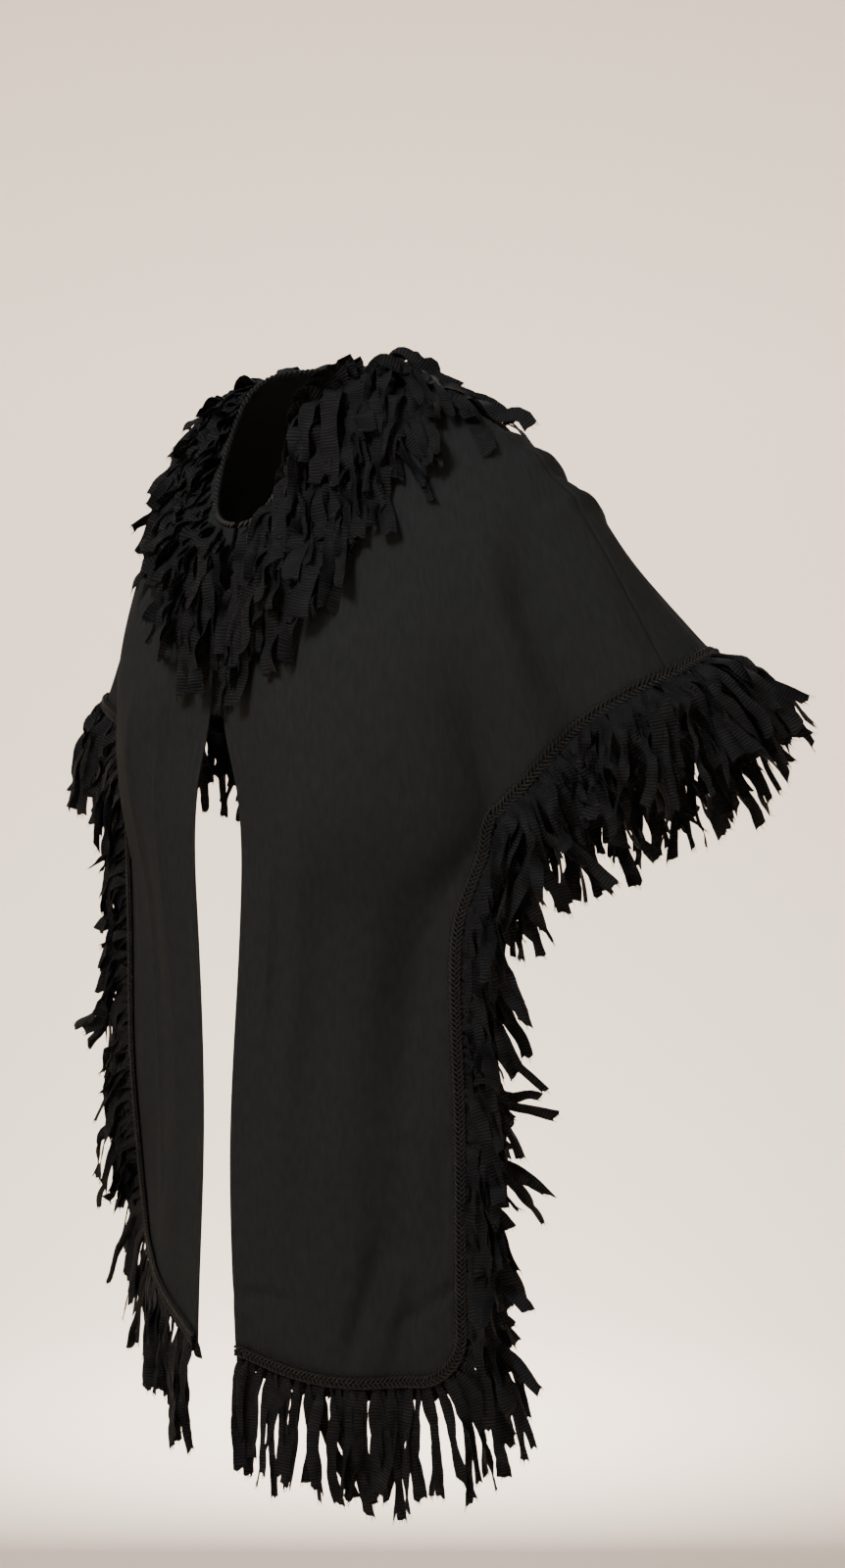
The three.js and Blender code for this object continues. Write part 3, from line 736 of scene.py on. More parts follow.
def widths(share, run, rng, pinch, open_by, wide):
    """Each ribbon's width all along: pinched at its head, open below it, and squeezed in one place."""
    n = len(run)
    depth = rng.uniform(0, 0.28, (n, 1))
    squeeze = 1 - depth * np.exp(-((share - rng.uniform(0.3, 1, (n, 1))) / 0.09) ** 2)
    opened = pinch + (1 - pinch) * smooth(run / open_by)
    return RIBBON_WIDTH * wide * rng.uniform(0.62, 1.12, (n, 1)) * opened * squeeze


SHARPEST = 0.85  # the sine of the steepest slope in a fold


def fold_along(share, rng, n, crumple):
    """How sharply each ribbon is folded lengthwise: most at the gathers, and again where it is crumpled."""
    gathered = np.sign(rng.normal(0, 1, (n, 1))) * rng.uniform(0.5, 0.8, (n, 1)) * (1 - smooth(share / 0.25))
    size = rng.normal(0, 0.5 * crumple, (n, 1))
    crushed = size * np.exp(-((share - rng.uniform(0.25, 1.0, (n, 1))) / 0.16) ** 2)
    steady = rng.normal(0, 0.28, (n, 1)) * smooth(share / 0.3)
    return np.clip(gathered + crushed + steady, -SHARPEST, SHARPEST)


def shells(front, back, cloth_map):
    """Closed thin strips: a front face, a back face, and the narrow edges between them."""
    n, m, c = front.shape[:3]
    each = m * c
    grid = grid_quads(m, c)
    top, right = np.arange(c), c * (np.arange(1, m) + 1) - 1
    bottom, left = (m - 1) * c + np.arange(c - 2, -1, -1), c * np.arange(m - 2, 0, -1)
    edge = np.concatenate([top, right, bottom, left])
    around = np.column_stack([edge, np.roll(edge, -1)])
    strip = np.column_stack([around[:, 0], around[:, 1], around[:, 1] + each, around[:, 0] + each])
    one = np.vstack([grid, grid[:, ::-1] + each, strip])
    faces = (one[None] + (np.arange(n) * 2 * each)[:, None, None]).reshape(-1, 4)
    points = np.stack([front, back], axis=1).reshape(-1, 3)
    maps = np.stack([cloth_map, cloth_map], axis=1).reshape(-1, 2)
    return points, faces, maps


# %% Ribbons along given paths
def ribbon_mesh(paths, faces_up, rng, twist, pinch=0.42, open_by=13.0, crumple=1.0, wide=1.0):
    """Ribbons along paths of shape (ribbons, points, 3). faces_up is the way each one faces at its head."""
    n, m = paths.shape[:2]
    direction = unit(np.gradient(paths, axis=1))
    share = np.linspace(0, 1, m)[None, :]
    run = run_along(paths)
    face = turned_faces(faces_up, direction, share, rng, twist, crumple)
    across = np.cross(direction, face)
    half = widths(share, run, rng, pinch, open_by, wide)[:, :, None] / 2
    fold = fold_along(share, rng, n, crumple)[:, :, None]
    bow = rng.normal(0, 0.2 * crumple, (n, 1)) * np.sin(5 * share + any_start(rng, n))
    ripple = rng.uniform(0.2, 0.7, (n, 1)) * np.sin(run / rng.uniform(3, 8, (n, 1)) + any_start(rng, n))
    ripple = ripple * smooth(run / 12)
    x = ACROSS[None, None, :]
    fold_at = rng.uniform(-0.4, 0.4, (n, 1, 1))
    ridge = np.abs(x - fold_at) - np.abs(fold_at) * 0.5 - 0.5
    sideways = half * x * np.sqrt(1 - fold ** 2)
    sideways = sideways + rng.normal(0, 0.16, (n, m, len(ACROSS))) * (np.abs(x) > 0.9)
    outwards = half * (fold * ridge + bow[:, :, None] * (x ** 2 - 0.4)) + ripple[:, :, None] * x
    points = (paths[:, :, None] + across[:, :, None] * sideways[..., None]
              + face[:, :, None] * outwards[..., None])
    slant = rng.normal(0, 1.8, (n, 1)) * ACROSS[None, :] + rng.normal(0, 0.8, (n, len(ACROSS)))
    points[:, -1] += direction[:, -1:] * slant[..., None]
    thick = face[:, :, None] * (RIBBON_THICKNESS / 2)
    cut_from = rng.uniform(0, 4000, (n, 1, 1))  # each length comes from its own part of the roll
    both = np.broadcast_arrays(ACROSS * RIBBON_WIDTH / 2, run[:, :, None] + cut_from)
    return shells(points + thick, points - thick, np.stack(both, axis=-1)), points, direction


# %% Frayed threads at the cut ends
THREADS = 9  # at each cut end
THREAD_FROM, THREAD_TO = 0.2, 0.08  # half a thread's width at the ribbon and at its own end


def frayed_threads(points, direction, rng):
    """Loose threads past each cut end, as thin flat slivers."""
    n, each = len(points), THREADS
    at = rng.uniform(0, len(ACROSS) - 1.001, (n, each))
    i = at.astype(int)
    t = (at - i)[..., None]
    rows = np.arange(n)[:, None]
    start = points[rows, -1, i] * (1 - t) + points[rows, -1, i + 1] * t
    along = unit(direction[:, -1:, :] + rng.normal(0, 0.22, (n, each, 3)))
    across = unit(np.cross(along, rng.normal(0, 1, (n, each, 3))))
    reach = rng.uniform(1.5, 6.0, (n, each, 1))
    start = start - along
    end = start + along * reach
    corners = [start - across * THREAD_FROM, start + across * THREAD_FROM,
               end + across * THREAD_TO, end - across * THREAD_TO]
    corners = np.stack(corners, axis=2).reshape(-1, 3)
    faces = np.arange(len(corners)).reshape(-1, 4)
    return corners, faces, np.zeros((len(corners), 2))


# %% Paths of ribbons that hang
HEAD_IN, HEAD_LIFT = 1.5, 1.4  # where a ribbon starts under the braid, in from the edge and off the cloth


def kinks(n, rng):
    """Where some ribbons turn sharply once, as creased ones do, and which way."""
    chosen = rng.uniform(size=(n, 1)) < 0.7
    return rng.uniform(0.25, 0.85, (n, 1)), np.clip(rng.normal(0, 0.36, (n, 3)), -0.6, 0.6) * chosen


def wanders(n, rng):
    """A slow and a quick side-to-side wander, different on each ribbon, as amplitude, waves and start."""
    slow = rng.normal(0, 0.15, (n, 3)), rng.uniform(3, 7, (n, 1)), any_start(rng, n)
    quick = rng.normal(0, 0.09, (n, 3)), rng.uniform(11, 22, (n, 1)), any_start(rng, n)
    return slow, quick


def wander_at(both, t):
    grown = smooth(np.array(t * 2.5))
    return sum(amplitude * np.sin(waves * t + start) for amplitude, waves, start in both) * grown


def hang(line, spec, rng):
    """Paths of ribbons that leave a line square to it and turn down under their own weight."""
    total = length_of(line)
    n = round(total / spec["pitch"])
    f = places(line, total * ((np.arange(n) + 0.5 + rng.uniform(-0.3, 0.3, n)) / n) ** spec["crowd"])
    share = np.linspace(0, 1, n)[:, None]
    weight = np.interp(share, (0, 0.5, 1), spec["weight"]) + rng.normal(0, 0.05, (n, 1))
    push = np.interp(share, (0, 0.5, 1), spec["push"]) + rng.normal(0, 0.06, (n, 1))
    reach = spec["length"] * rng.uniform(1 - spec["uneven"], 1.08, (n, 1))
    leave = unit(f["out"] + f["normal"] * push + f["tangent"] * rng.normal(0, 0.14, (n, 1)))
    settle = unit(leave * (1 - weight) + DOWN * weight + rng.normal(0, 0.08, (n, 3)))
    layer = f["normal"] * rng.uniform(0, spec["depth"], (n, 1))
    kink_at, kink = kinks(n, rng)
    both = wanders(n, rng)
    p = f["p"] - f["out"] * HEAD_IN + f["normal"] * HEAD_LIFT
    path = [p]
    for j in range(1, STEPS + 1):
        t = (j - 0.5) / STEPS
        bend = smooth(np.array(t * spec["bend"]))
        wander = (wander_at(both, t) + kink * smooth((t - kink_at) / 0.1)) * spec["stir"]
        inwards = np.minimum((wander * f["out"]).sum(1, keepdims=True), 0)
        wander = wander - f["out"] * inwards
        direction = unit(unit(leave * (1 - bend) + settle * bend) + wander)
        rise = smooth(np.array(j / STEPS * 3)) - smooth(np.array((j - 1) / STEPS * 3))
        p = p + direction * reach / STEPS + layer * rise
        path.append(p)
    return np.stack(path, axis=1), f["normal"]


# %% [markdown]
# ## The fringe
# Ribbons hang straight below the stole's hem in one loose row, and lie closer and deeper along the sides
# and over the arms. Where the left arm is held out, they are pushed off by it and spread.

# %% What a fringe is given
USUAL = dict(crowd=1.0, depth=9, bend=2.2, twist=0.85, stir=1.0, crumple=1.4, wide=1.0)
STRAIGHT = dict(depth=4, bend=1.5, stir=0.45, crumple=0.8, wide=0.86)  # the rows below the hem


def fringe(pitch, length, uneven, weight, push, seed, **own):
    row = dict(pitch=pitch, length=length, uneven=uneven, weight=weight, push=push, seed=seed)
    return USUAL | row | own


# %% The gathered heads
GATHER_PITCH = 2.9
GATHER_STEP = 0.72
# One row a line across the pleats: how far out and how high it lies, and how deep the pleats are there
GATHER_ROWS = [(-2.0, -0.15, 0.6), (1.5, -0.5, 1.3), (4.5, -1.2, 2.0), (7.5, -2.1, 2.0), (10.0, -3.2, 2.0)]


def gathers(line, rng):
    """The pleated heads of the ribbons, which close the row just below the braid."""
    length = length_of(line)
    at = np.linspace(0, length, int(length / GATHER_STEP))
    f = places(line, at)
    pleat = np.sin(2 * np.pi * at / GATHER_PITCH + 1.2 * np.sin(at / 9.0))
    out, height, depth = np.array(GATHER_ROWS).T[:, :, None]
    u, v = np.broadcast_arrays(at, out)
    reach = v.copy()
    reach[-1] += rng.uniform(-1.5, 2.0, len(at))  # a ragged last row
    up = height + pleat * depth
    fall = DOWN * np.maximum(0, out - 2)[..., None] * 0.55
    front = (f["p"] + f["out"] * reach[..., None] * 0.85 + f["normal"] * up[..., None] + fall)[None]
    return shells(front, front - f["normal"] * RIBBON_THICKNESS, np.stack([u, v], axis=-1)[None])


# %% Fringes on every edge
# weight and push are given at the start, middle and end of each line. A crowd below 1 packs the line's end.
FRINGES = {
    "hem_left": fringe(4.3, 88, 0.17, (0.8, 0.8, 0.8), (0, 0, 0), 1, crowd=0.86, **STRAIGHT),
    "hem_right": fringe(4.3, 90, 0.17, (0.8, 0.8, 0.8), (0, 0, 0), 2, crowd=1.16, **STRAIGHT),
    "side_left": fringe(2.6, 90, 0.36, (0.8, 0.83, 0.82), (0.15, 0.15, 0.15), 3, bend=2.7),
    "side_right": fringe(2.8, 84, 0.38, (0.75, 0.8, 0.8), (0.2, 0.15, 0.15), 4),
    "arm_left": fringe(2.3, 96, 0.55, (0.9, 0.74, 0.42), (0.15, 0.35, 0.5), 5, depth=13, stir=1.45,
                       crumple=1.9),
    "arm_right": fringe(3.0, 88, 0.36, (0.75, 0.8, 0.85), (0.2, 0.2, 0.2), 6),
    "back": fringe(3.4, 92, 0.36, (0.42, 0.8, 0.75), (0.5, 0.2, 0.2), 7),
}
fringes = {}
for name, spec in FRINGES.items():
    rng = np.random.default_rng(spec["seed"])
    paths, faces_up = hang(EDGE_PARTS[name], spec, rng)
    twist = rng.normal(0, spec["twist"], len(paths))
    strips, points, direction = ribbon_mesh(paths, faces_up, rng, twist, 0.34, 18, spec["crumple"],
                                           spec["wide"])
    parts = joined([strips, frayed_threads(points, direction, rng), gathers(EDGE_PARTS[name], rng)])
    fringes[name] = make_piece("ribbons_" + name, *parts, "ribbon", ["fringe_" + name])
    print("fringe", name, "ribbons", len(paths), "triangles", triangles(fringes[name]))


# %% [markdown]
# ## The ruff
# The ruff is three tiers of ribbon, sewn to the cloth one below the other and round the neckline. Each
# ribbon lies out over the cloth and droops. On the chest that takes it straight down, and on the
# shoulders, where the cloth is nearly level, it lies out across them.

# %% The three tiers
TIERS = {
    "top": dict(start=1, spread=14, pitch=4.4, length=64, rise=0.04, stand=14, seed=21),
    "middle": dict(start=20, spread=22, pitch=5.0, length=66, rise=0.05, stand=9, seed=22),
    "low": dict(start=48, spread=18, pitch=5.4, length=70, rise=0.03, stand=4, seed=23),
}
DROOP = 3.4


# %% Ways over the cloth
def nearness(side, k):
    """The ruff on the right shoulder lies closer to the neck than it does elsewhere."""
    closer = 0.46 * smooth((k - 0.7) / 1.2) * (1 - smooth((k - SEAM) / 1.6))
    return 1 - closer if side == "right" else np.ones(len(k))


def walk(side, k, s, direction, distance):
    """The places reached by going that way over the cloth."""
    _, around, down, _ = cloth_frame(side, k, s)
    a, b, c = (around * around).sum(1), (around * down).sum(1), (down * down).sum(1)
    d, e = (direction * around).sum(1) * distance, (direction * down).sum(1) * distance
    det = a * c - b * b
    return np.clip(k + (d * c - e * b) / det, FRONT, BACK), np.maximum(s + (e * a - d * b) / det, 0)


def below_neck(side, k, distance, steps=8):
    s = np.zeros(len(k))
    for _ in range(steps):
        _, around, _, normal = cloth_frame(side, k, s)
        square = unit(np.cross(around, normal)) * SIGN[side]
        k, s = walk(side, k, s, square, distance / steps)
    return k, s


# %% Ribbons that lie on the cloth
def ruff_paths(side, spec, rng):
    k0 = np.linspace(FRONT + 0.05, BACK - 0.02, 160)
    k, s = below_neck(side, k0, spec["start"] * nearness(side, k0))
    run = run_along(cloth_frame(side, k, s)[0])
    n = round(run[-1] / spec["pitch"])
    at = (np.arange(n) + 0.5 + rng.uniform(-0.4, 0.4, n)) * run[-1] / n
    k1 = np.interp(at, run, k0)
    near = nearness(side, k1)
    k, s = below_neck(side, k1, (spec["start"] + rng.uniform(0, spec["spread"], n)) * near)
    reach = spec["length"] * (0.35 + 0.65 * near) * rng.uniform(0.72, 1.1, n)
    rise = spec["rise"] * rng.uniform(0.2, 1.8, n)
    stand = spec["stand"] * rng.uniform(0.1, 1.25, n) * (0.65 + 0.85 * smooth((k1 - 2.6) / 1.4)) * near ** 2
    drift = rng.normal(0, 0.45, (n, 1))
    slow, _ = wanders(n, rng)
    faces_up = cloth_frame(side, k, s)[3]
    path = []
    for j in range(STEPS + 1):
        p, around, down, normal = cloth_frame(side, k, s)
        t = j / STEPS
        travelled = reach * t
        standing = stand * smooth(travelled / 16) * (1 - 0.7 * t)
        height = 1.2 + 3 * smooth(travelled / 14) + rise * travelled + standing
        path.append(p + normal * height[:, None])
        weight = DOWN - normal * (normal @ DOWN)[:, None]
        sideways = drift + 2.2 * slow[0][:, :1] * np.sin(slow[1] * t + slow[2])
        direction = unit(weight * DROOP + unit(down) + unit(around) * sideways)
        k, s = walk(side, k, s, direction, reach / STEPS)
    path = np.stack(path, axis=1)
    t = np.linspace(0, 1, STEPS + 1)
    sway = rng.normal(0, 1, (n, 1, 3)) * 4 * smooth((t - 0.3) / 0.7)[None, :, None]
    lift = rng.normal(0, 1.3, (n, 1)) * np.sin(rng.uniform(8, 18, (n, 1)) * t[None]) * smooth(t * 3)[None]
    return path + sway + lift[..., None] * faces_up[:, None], faces_up


# %% Ribbons that have fallen in at the neck
# One row a ribbon that has fallen in over the left of the neckline: its rib number, length and lean
FALLEN_IN = [
    [2.7, 30, 0.1], [3.0, 34, -0.2], [3.25, 36, 0.15], [3.5, 40, -0.1], [3.75, 50, 0.1], [3.95, 62, -0.1],
    [4.15, 70, 0.05], [4.35, 66, 0.0], [4.55, 72, -0.1], [4.75, 58, 0.1], [4.95, 62, 0.0], [5.2, 44, 0.1],
]


def fallen_in():
    k, reach, lean = np.array(FALLEN_IN).T
    p, around, down, normal = cloth_frame("left", k, np.full(len(k), 0.02))
    inwards = -unit(np.cross(around, normal))
    path = [p + normal * 2 - inwards * 5]
    for j in range(1, STEPS + 1):
        t = (j - 0.5) / STEPS
        over = smooth(np.array((t - 0.05) / 0.3))
        inward = 1.0 - 0.92 * smooth(np.array((t - 0.18) / 0.3))
        leave = normal * 1.2 * (1 - over) + inwards * inward
        direction = unit(leave + DOWN * over * 1.1 + unit(around) * lean[:, None])
        path.append(path[-1] + direction * (reach / STEPS)[:, None])
    return np.stack(path, axis=1), inwards


# %% Make the ruff
ruffs = {}
for name, spec in TIERS.items():
    rng = np.random.default_rng(spec["seed"])
    halves = [ruff_paths(side, spec, rng) for side in SIGN]
    if name == "top":
        halves.append(fallen_in())
    paths = np.vstack([half[0] for half in halves])
    faces_up = np.vstack([half[1] for half in halves])
    strips, points, direction = ribbon_mesh(paths, faces_up, rng, rng.normal(0, 0.6, len(paths)), pinch=0.55,
                                           crumple=1.2, wide=1.16)
    parts = joined([strips, frayed_threads(points, direction, rng)])
    ruffs[name] = make_piece("ribbons_ruff_" + name, *parts, "ribbon", ["ruff_" + name])
    print("ruff", name, "ribbons", len(paths), "triangles", triangles(ruffs[name]))


# %% [markdown]
# ## The neck binding
# Two thin cords twisted round each other finish the neckline. They lie along the raw edge of the cloth.
# Two curves with a round bevel would look the same. The braid's tubes are used again, since they carry
# the cord's map with them.

# %% Twisted cords round the neck
BINDING_RADIUS = 1.3
BINDING_REACH = 1.25  # from the middle of the pair to the middle of a cord
BINDING_TURN = 8.0  # millimetres to one full twist
BINDING_STEP = 0.9
BINDING_IN, BINDING_UNDER = 2.2, 0.6  # inside the neckline, and under the cloth's outer face
k_neck = np.linspace(0.04, BACK, 220)
s_neck = np.full(len(k_neck), float(NECK))
neck_line = line_on_cloth([("left", k_neck, s_neck), ("right", k_neck[::-1], s_neck)])
length = length_of(neck_line)
at = np.linspace(0, length, int(length / BINDING_STEP))
f = places(neck_line, at)
centre = f["p"] - f["out"] * BINDING_IN - f["normal"] * BINDING_UNDER
twisted = []
for phase in (0, np.pi):
    turn = 2 * np.pi * at[:, None] / BINDING_TURN + phase
    twisted.append(centre + (f["out"] * np.cos(turn) + f["normal"] * np.sin(turn)) * BINDING_REACH)
twisted = np.array(twisted)
faces_out = np.broadcast_to(f["normal"], twisted.shape)
# The cord's map gives each twisted cord the cord material's painted highlight along its crown and painted shade
# down its sides.
cords = tubes(twisted, BINDING_RADIUS, 8, faces_out)
binding = make_piece("binding_neck", *cords, "cord_binding", ["neck_binding"])
print("binding length mm", round(float(at[-1])), "triangles", triangles(binding))


# %% [markdown]
# ## Materials
# All three are black, and differ in how they take the light. The wool is matt with a faint nap. The
# ribbon is smoother and ribbed across, and thin enough for a little light to pass, and its colour has painted
# shade in the grooves between its ribs. The cords are tight and slightly glossy, with a painted highlight along
# each cord's crown and painted shade down its sides. Woven patterns could be images, but a texture that is
# worked out in millimetres of cloth keeps its real size and never blurs.

# %% Colours and nodes
def linear(code):
    """An sRGB hex colour as linear red, green, blue and alpha."""
    parts = [int(code[i:i + 2], 16) / 255 for i in (1, 3, 5)]
    return [p / 12.92 if p <= 0.04045 else ((p + 0.055) / 1.055) ** 2.4 for p in parts] + [1.0]


def add_node(tree, kind, settings=(), inputs=(), links=()):
    """One shader node. settings are its properties, inputs its socket values, links its incoming wires."""
    node = tree.nodes.new(kind)
    for name, value in dict(settings).items():
        setattr(node, name, value)
    for name, value in dict(inputs).items():
        node.inputs[name].default_value = value
    for name, socket in dict(links).items():
        tree.links.new(socket, node.inputs[name])
    return node


def new_material(name):
    material = bpy.data.materials.new(name)
    material.use_nodes = True
    material.node_tree.nodes.clear()
    return material, material.node_tree


def give(material, pieces):
    for piece in pieces:
        piece.data.materials.clear()
        piece.data.materials.append(material)


# %% Fine black wool
wool, tree = new_material("Wool_PlainWeave_Black")
where = add_node(tree, "ShaderNodeUVMap", {"uv_map": "cloth"})
scaled = add_node(tree, "ShaderNodeVectorMath", {"operation": "MULTIPLY"}, {1: (1, 1, 0)},
                  {0: where.outputs["UV"]})
# The bands of a Wave texture are 2π / (20 × scale) apart, which is 0.5 mm here.
warp, weft = [
    add_node(tree, "ShaderNodeTexWave", {"bands_direction": axis},
             {"Scale": 0.62, "Distortion": 0.4, "Detail": 1.0}, {"Vector": scaled.outputs[0]})
    for axis in ("X", "Y")
]
weave = add_node(tree, "ShaderNodeMath", {"operation": "MULTIPLY"}, {},
                 {0: warp.outputs["Fac"], 1: weft.outputs["Fac"]})
grain_at = add_node(tree, "ShaderNodeVectorMath", {"operation": "MULTIPLY"}, {1: (0.3, 0.09, 0)},
                    {0: where.outputs["UV"]})
grain = add_node(tree, "ShaderNodeTexNoise", {}, {"Scale": 1.0, "Detail": 3.0},
                 {"Vector": grain_at.outputs[0]})
shade = add_node(tree, "ShaderNodeMix", {"data_type": "RGBA"},
                 {6: linear("#1a1b1b"), 7: linear("#272929")}, {0: grain.outputs["Fac"]})
bumped = add_node(tree, "ShaderNodeBump", {}, {"Strength": 0.35, "Distance": 0.00012},
                  {"Height": weave.outputs[0]})
surface = add_node(tree, "ShaderNodeBsdfPrincipled", {},
                   {"Roughness": 1.0, "Specular IOR Level": 0.03, "IOR": 1.46},
                   {"Base Color": shade.outputs[2], "Normal": bumped.outputs["Normal"]})
add_node(tree, "ShaderNodeOutputMaterial", {}, {}, {"Surface": surface.outputs[0]})
give(wool, cloth.values())

# %% Thin ribbed ribbon
ribbon, tree = new_material("Ribbon_CrossRibbed_Black")
where = add_node(tree, "ShaderNodeUVMap", {"uv_map": "cloth"})
# The real ribs are 1.3 mm apart, and are drawn 2.2 mm apart so that they show.
ribs = add_node(tree, "ShaderNodeTexWave", {"bands_direction": "Y"},
                {"Scale": 0.143, "Distortion": 0.6, "Detail": 1.0}, {"Vector": where.outputs["UV"]})
patches = add_node(tree, "ShaderNodeTexNoise", {}, {"Scale": 0.09, "Detail": 3.0},
                {"Vector": where.outputs["UV"]})
# Painted shade: the colour is darker in the grooves between the ribs and lighter on their crests, and a noise
# makes it lighter and darker in patches.
painted_groove_shade = add_node(tree, "ShaderNodeMath", {"operation": "MULTIPLY_ADD"}, {1: 0.8, 2: 0.1},
                   {0: ribs.outputs["Fac"]})
uneven = add_node(tree, "ShaderNodeMath", {"operation": "MULTIPLY"}, {},
                  {0: painted_groove_shade.outputs[0], 1: patches.outputs["Fac"]})
shade = add_node(tree, "ShaderNodeMix", {"data_type": "RGBA"},
                 {6: linear("#010102"), 7: linear("#2a2b2c")}, {0: uneven.outputs[0]})
bumped = add_node(tree, "ShaderNodeBump", {}, {"Strength": 0.8, "Distance": 0.0004},
                  {"Height": ribs.outputs["Fac"]})
surface = add_node(tree, "ShaderNodeBsdfPrincipled", {},
                   {"Roughness": 0.75, "Specular IOR Level": 0.11, "IOR": 1.5},
                   {"Base Color": shade.outputs[2], "Normal": bumped.outputs["Normal"]})
through = add_node(tree, "ShaderNodeBsdfTranslucent", {}, {"Color": linear("#1d1a18")})
mixed = add_node(tree, "ShaderNodeMixShader", {}, {0: 0.06}, {1: surface.outputs[0], 2: through.outputs[0]})
add_node(tree, "ShaderNodeOutputMaterial", {}, {}, {"Surface": mixed.outputs[0]})
give(ribbon, list(fringes.values()) + list(ruffs.values()))

# %% Twisted silk cord
cord, tree = new_material("Cord_TwistedSilk_Black")
where = add_node(tree, "ShaderNodeUVMap", {"uv_map": "cloth"})
yarn = add_node(tree, "ShaderNodeTexWave", {"bands_direction": "DIAGONAL"},
                {"Scale": 0.35, "Distortion": 0.2}, {"Vector": where.outputs["UV"]})
# Painted highlight and shade: each cord is painted lightest along its crown, the side that faces away from the
# cloth, and darkest down its sides and underneath.
split = add_node(tree, "ShaderNodeSeparateXYZ", {}, {}, {0: where.outputs["UV"]})
turned = add_node(tree, "ShaderNodeMath", {"operation": "MULTIPLY"}, {1: 2 * math.pi / CORD_GIRTH},
                  {0: split.outputs["X"]})
facing = add_node(tree, "ShaderNodeMath", {"operation": "COSINE"}, {}, {0: turned.outputs[0]})
painted_crown_light = add_node(tree, "ShaderNodeMapRange", {}, {"From Min": 0.6, "From Max": 1.0},
                 {"Value": facing.outputs[0]})
shade = add_node(tree, "ShaderNodeMix", {"data_type": "RGBA"},
                 {6: linear("#020202"), 7: linear("#30302d")}, {0: painted_crown_light.outputs[0]})
bumped = add_node(tree, "ShaderNodeBump", {}, {"Strength": 0.7, "Distance": 0.0002},
                  {"Height": yarn.outputs["Fac"]})
surface = add_node(tree, "ShaderNodeBsdfPrincipled", {},
                   {"Roughness": 0.6, "Specular IOR Level": 0.2, "IOR": 1.5},
                   {"Base Color": shade.outputs[2], "Normal": bumped.outputs["Normal"]})
add_node(tree, "ShaderNodeOutputMaterial", {}, {}, {"Surface": surface.outputs[0]})
give(cord, list(braids.values()) + [binding])

# %% [markdown]
# ## The area of the cloth
# Each panel's area is worked out and printed, in square metres.

def outer_area(piece):
    """Half of the wall's area, in square metres."""
    return sum(face.area for face in piece.data.polygons) / 2


for name, piece in cloth.items():
    print(name, "area in square metres", round(outer_area(piece), 4))

# %% [markdown]
# ## Backdrop, light and camera
# The cape stands before a pale paper sweep in soft, even studio light. The camera looks from the cape's own
# left front, a little above the neckline, from about two metres.

# %% Paper sweep
FLOOR = -1.45
ANGLE = math.radians(40)


def sweep():
    """A round floor that curves up into a wall on every side, so that each view has the same pale ground."""
    radius, curve, height, turns = 4.2, 1.7, 4.6, 96
    profile = [(0.3, 0.0), (radius - curve, 0.0)]
    for i in range(1, 25):
        a = math.pi / 2 * i / 24
        profile.append((radius - curve + curve * math.sin(a), curve - curve * math.cos(a)))
    profile.append((radius, height))
    points, faces = [], []
    for out, up in profile:
        for j in range(turns):
            a = 2 * math.pi * j / turns
            points.append((out * math.cos(a), out * math.sin(a), FLOOR + up))
    for i in range(len(profile) - 1):
        for j in range(turns):
            k = (j + 1) % turns
            faces.append((i * turns + j, i * turns + k, (i + 1) * turns + k, (i + 1) * turns + j))
    points.append((0, 0, FLOOR))
    faces += [((j + 1) % turns, j, len(points) - 1) for j in range(turns)]
    mesh = bpy.data.meshes.new("sweep")
    mesh.from_pydata(points, [], faces)
    mesh.polygons.foreach_set("use_smooth", np.ones(len(faces), bool))
    piece = bpy.data.objects.new("sweep", mesh)
    bpy.context.collection.objects.link(piece)
    return piece


paper, tree = new_material("Paper_Matt_WarmGrey")
surface = add_node(tree, "ShaderNodeBsdfPrincipled", {}, {"Base Color": linear("#e6ddd2"), "Roughness": 0.95})
add_node(tree, "ShaderNodeOutputMaterial", {}, {}, {"Surface": surface.outputs[0]})
give(paper, [sweep()])

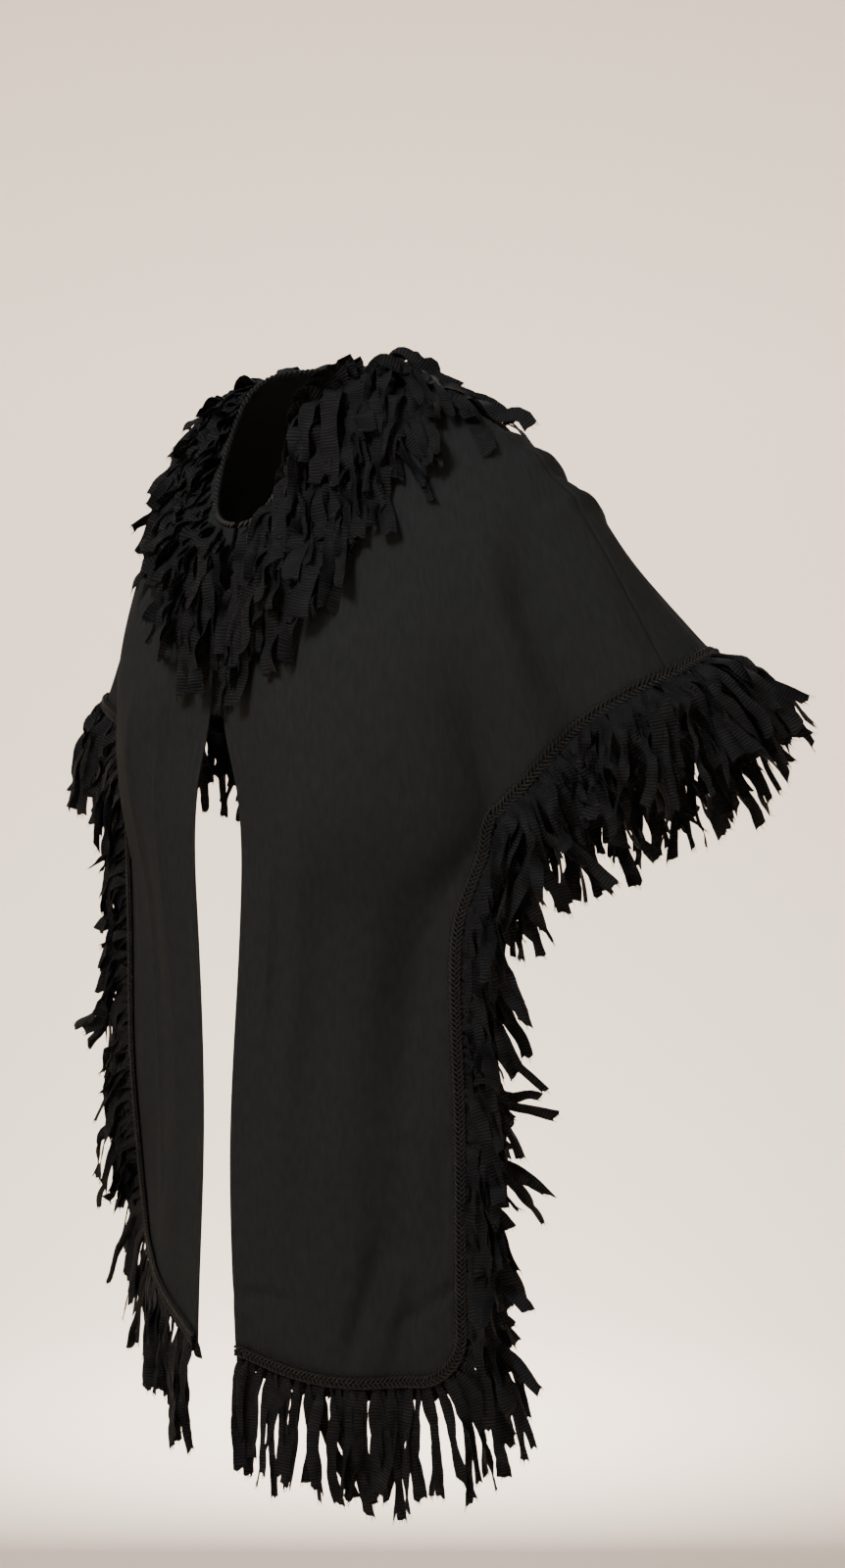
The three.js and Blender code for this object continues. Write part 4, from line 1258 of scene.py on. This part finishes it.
# %% Lights
def area_light(name, place, target, size, power, colour):
    light = bpy.data.lights.new(name, "AREA")
    light.shape = "RECTANGLE"
    light.size, light.size_y = size
    light.energy = power
    light.color = linear(colour)[:3]
    lamp = bpy.data.objects.new(name, light)
    bpy.context.collection.objects.link(lamp)
    lamp.location = place
    lamp.visible_camera = False
    lamp.rotation_euler = (Vector(target) - Vector(place)).to_track_quat("-Z", "Y").to_euler()
    return lamp


def beside(across, away, height):
    """A place given by the camera's own right and forward directions, on the ground plan."""
    x = across * math.cos(ANGLE) - away * math.sin(ANGLE)
    y = across * math.sin(ANGLE) + away * math.cos(ANGLE)
    return x, y, height


area_light("key", beside(-1.0, -1.35, 1.5), (0, 0, -0.05), (0.6, 0.6), 61, "#f8f9ff")
area_light("fill", beside(2.2, -1.6, 0.8), (0, 0, -0.2), (1.6, 1.6), 8, "#f0f3ff")
area_light("top", (0.0, 0.2, 2.4), (0, 0.1, -0.4), (2.0, 2.0), 12, "#ffffff")
area_light("behind", beside(0.6, 2.5, 1.4), (0, 0, -0.2), (1.6, 1.6), 26, "#ffffff")
# Four lamps round the cape face away from it and light only the paper.
for number, (across, away, power) in enumerate([(0, 1.5, 130), (1.5, 0, 52), (0, -1.5, 34), (-1.5, 0, 56)]):
    place, target = beside(across, away, -0.45), beside(across * 3, away * 3, -0.45)
    area_light(f"paper_{number}", place, target, (0.9, 0.9), power, "#fff3e6")
world = bpy.context.scene.world or bpy.data.worlds.new("studio")
bpy.context.scene.world = world
world.use_nodes = True
world.node_tree.nodes["Background"].inputs["Color"].default_value = linear("#e8e4e6")
world.node_tree.nodes["Background"].inputs["Strength"].default_value = 0.1

# %% Camera
DISTANCE = 1.9
TILT = math.radians(6.4)
look_at = Vector((0.0636, 0.0533, -0.236))
to_camera = Vector((math.sin(ANGLE) * math.cos(TILT), -math.cos(ANGLE) * math.cos(TILT), math.sin(TILT)))
lens = bpy.data.cameras.new("view")
lens.lens = 59.85
lens.sensor_width = 36
camera = bpy.data.objects.new("view", lens)
bpy.context.collection.objects.link(camera)
camera.location = look_at + to_camera * DISTANCE
camera.rotation_euler = (-to_camera).to_track_quat("-Z", "Y").to_euler()
bpy.context.scene.camera = camera
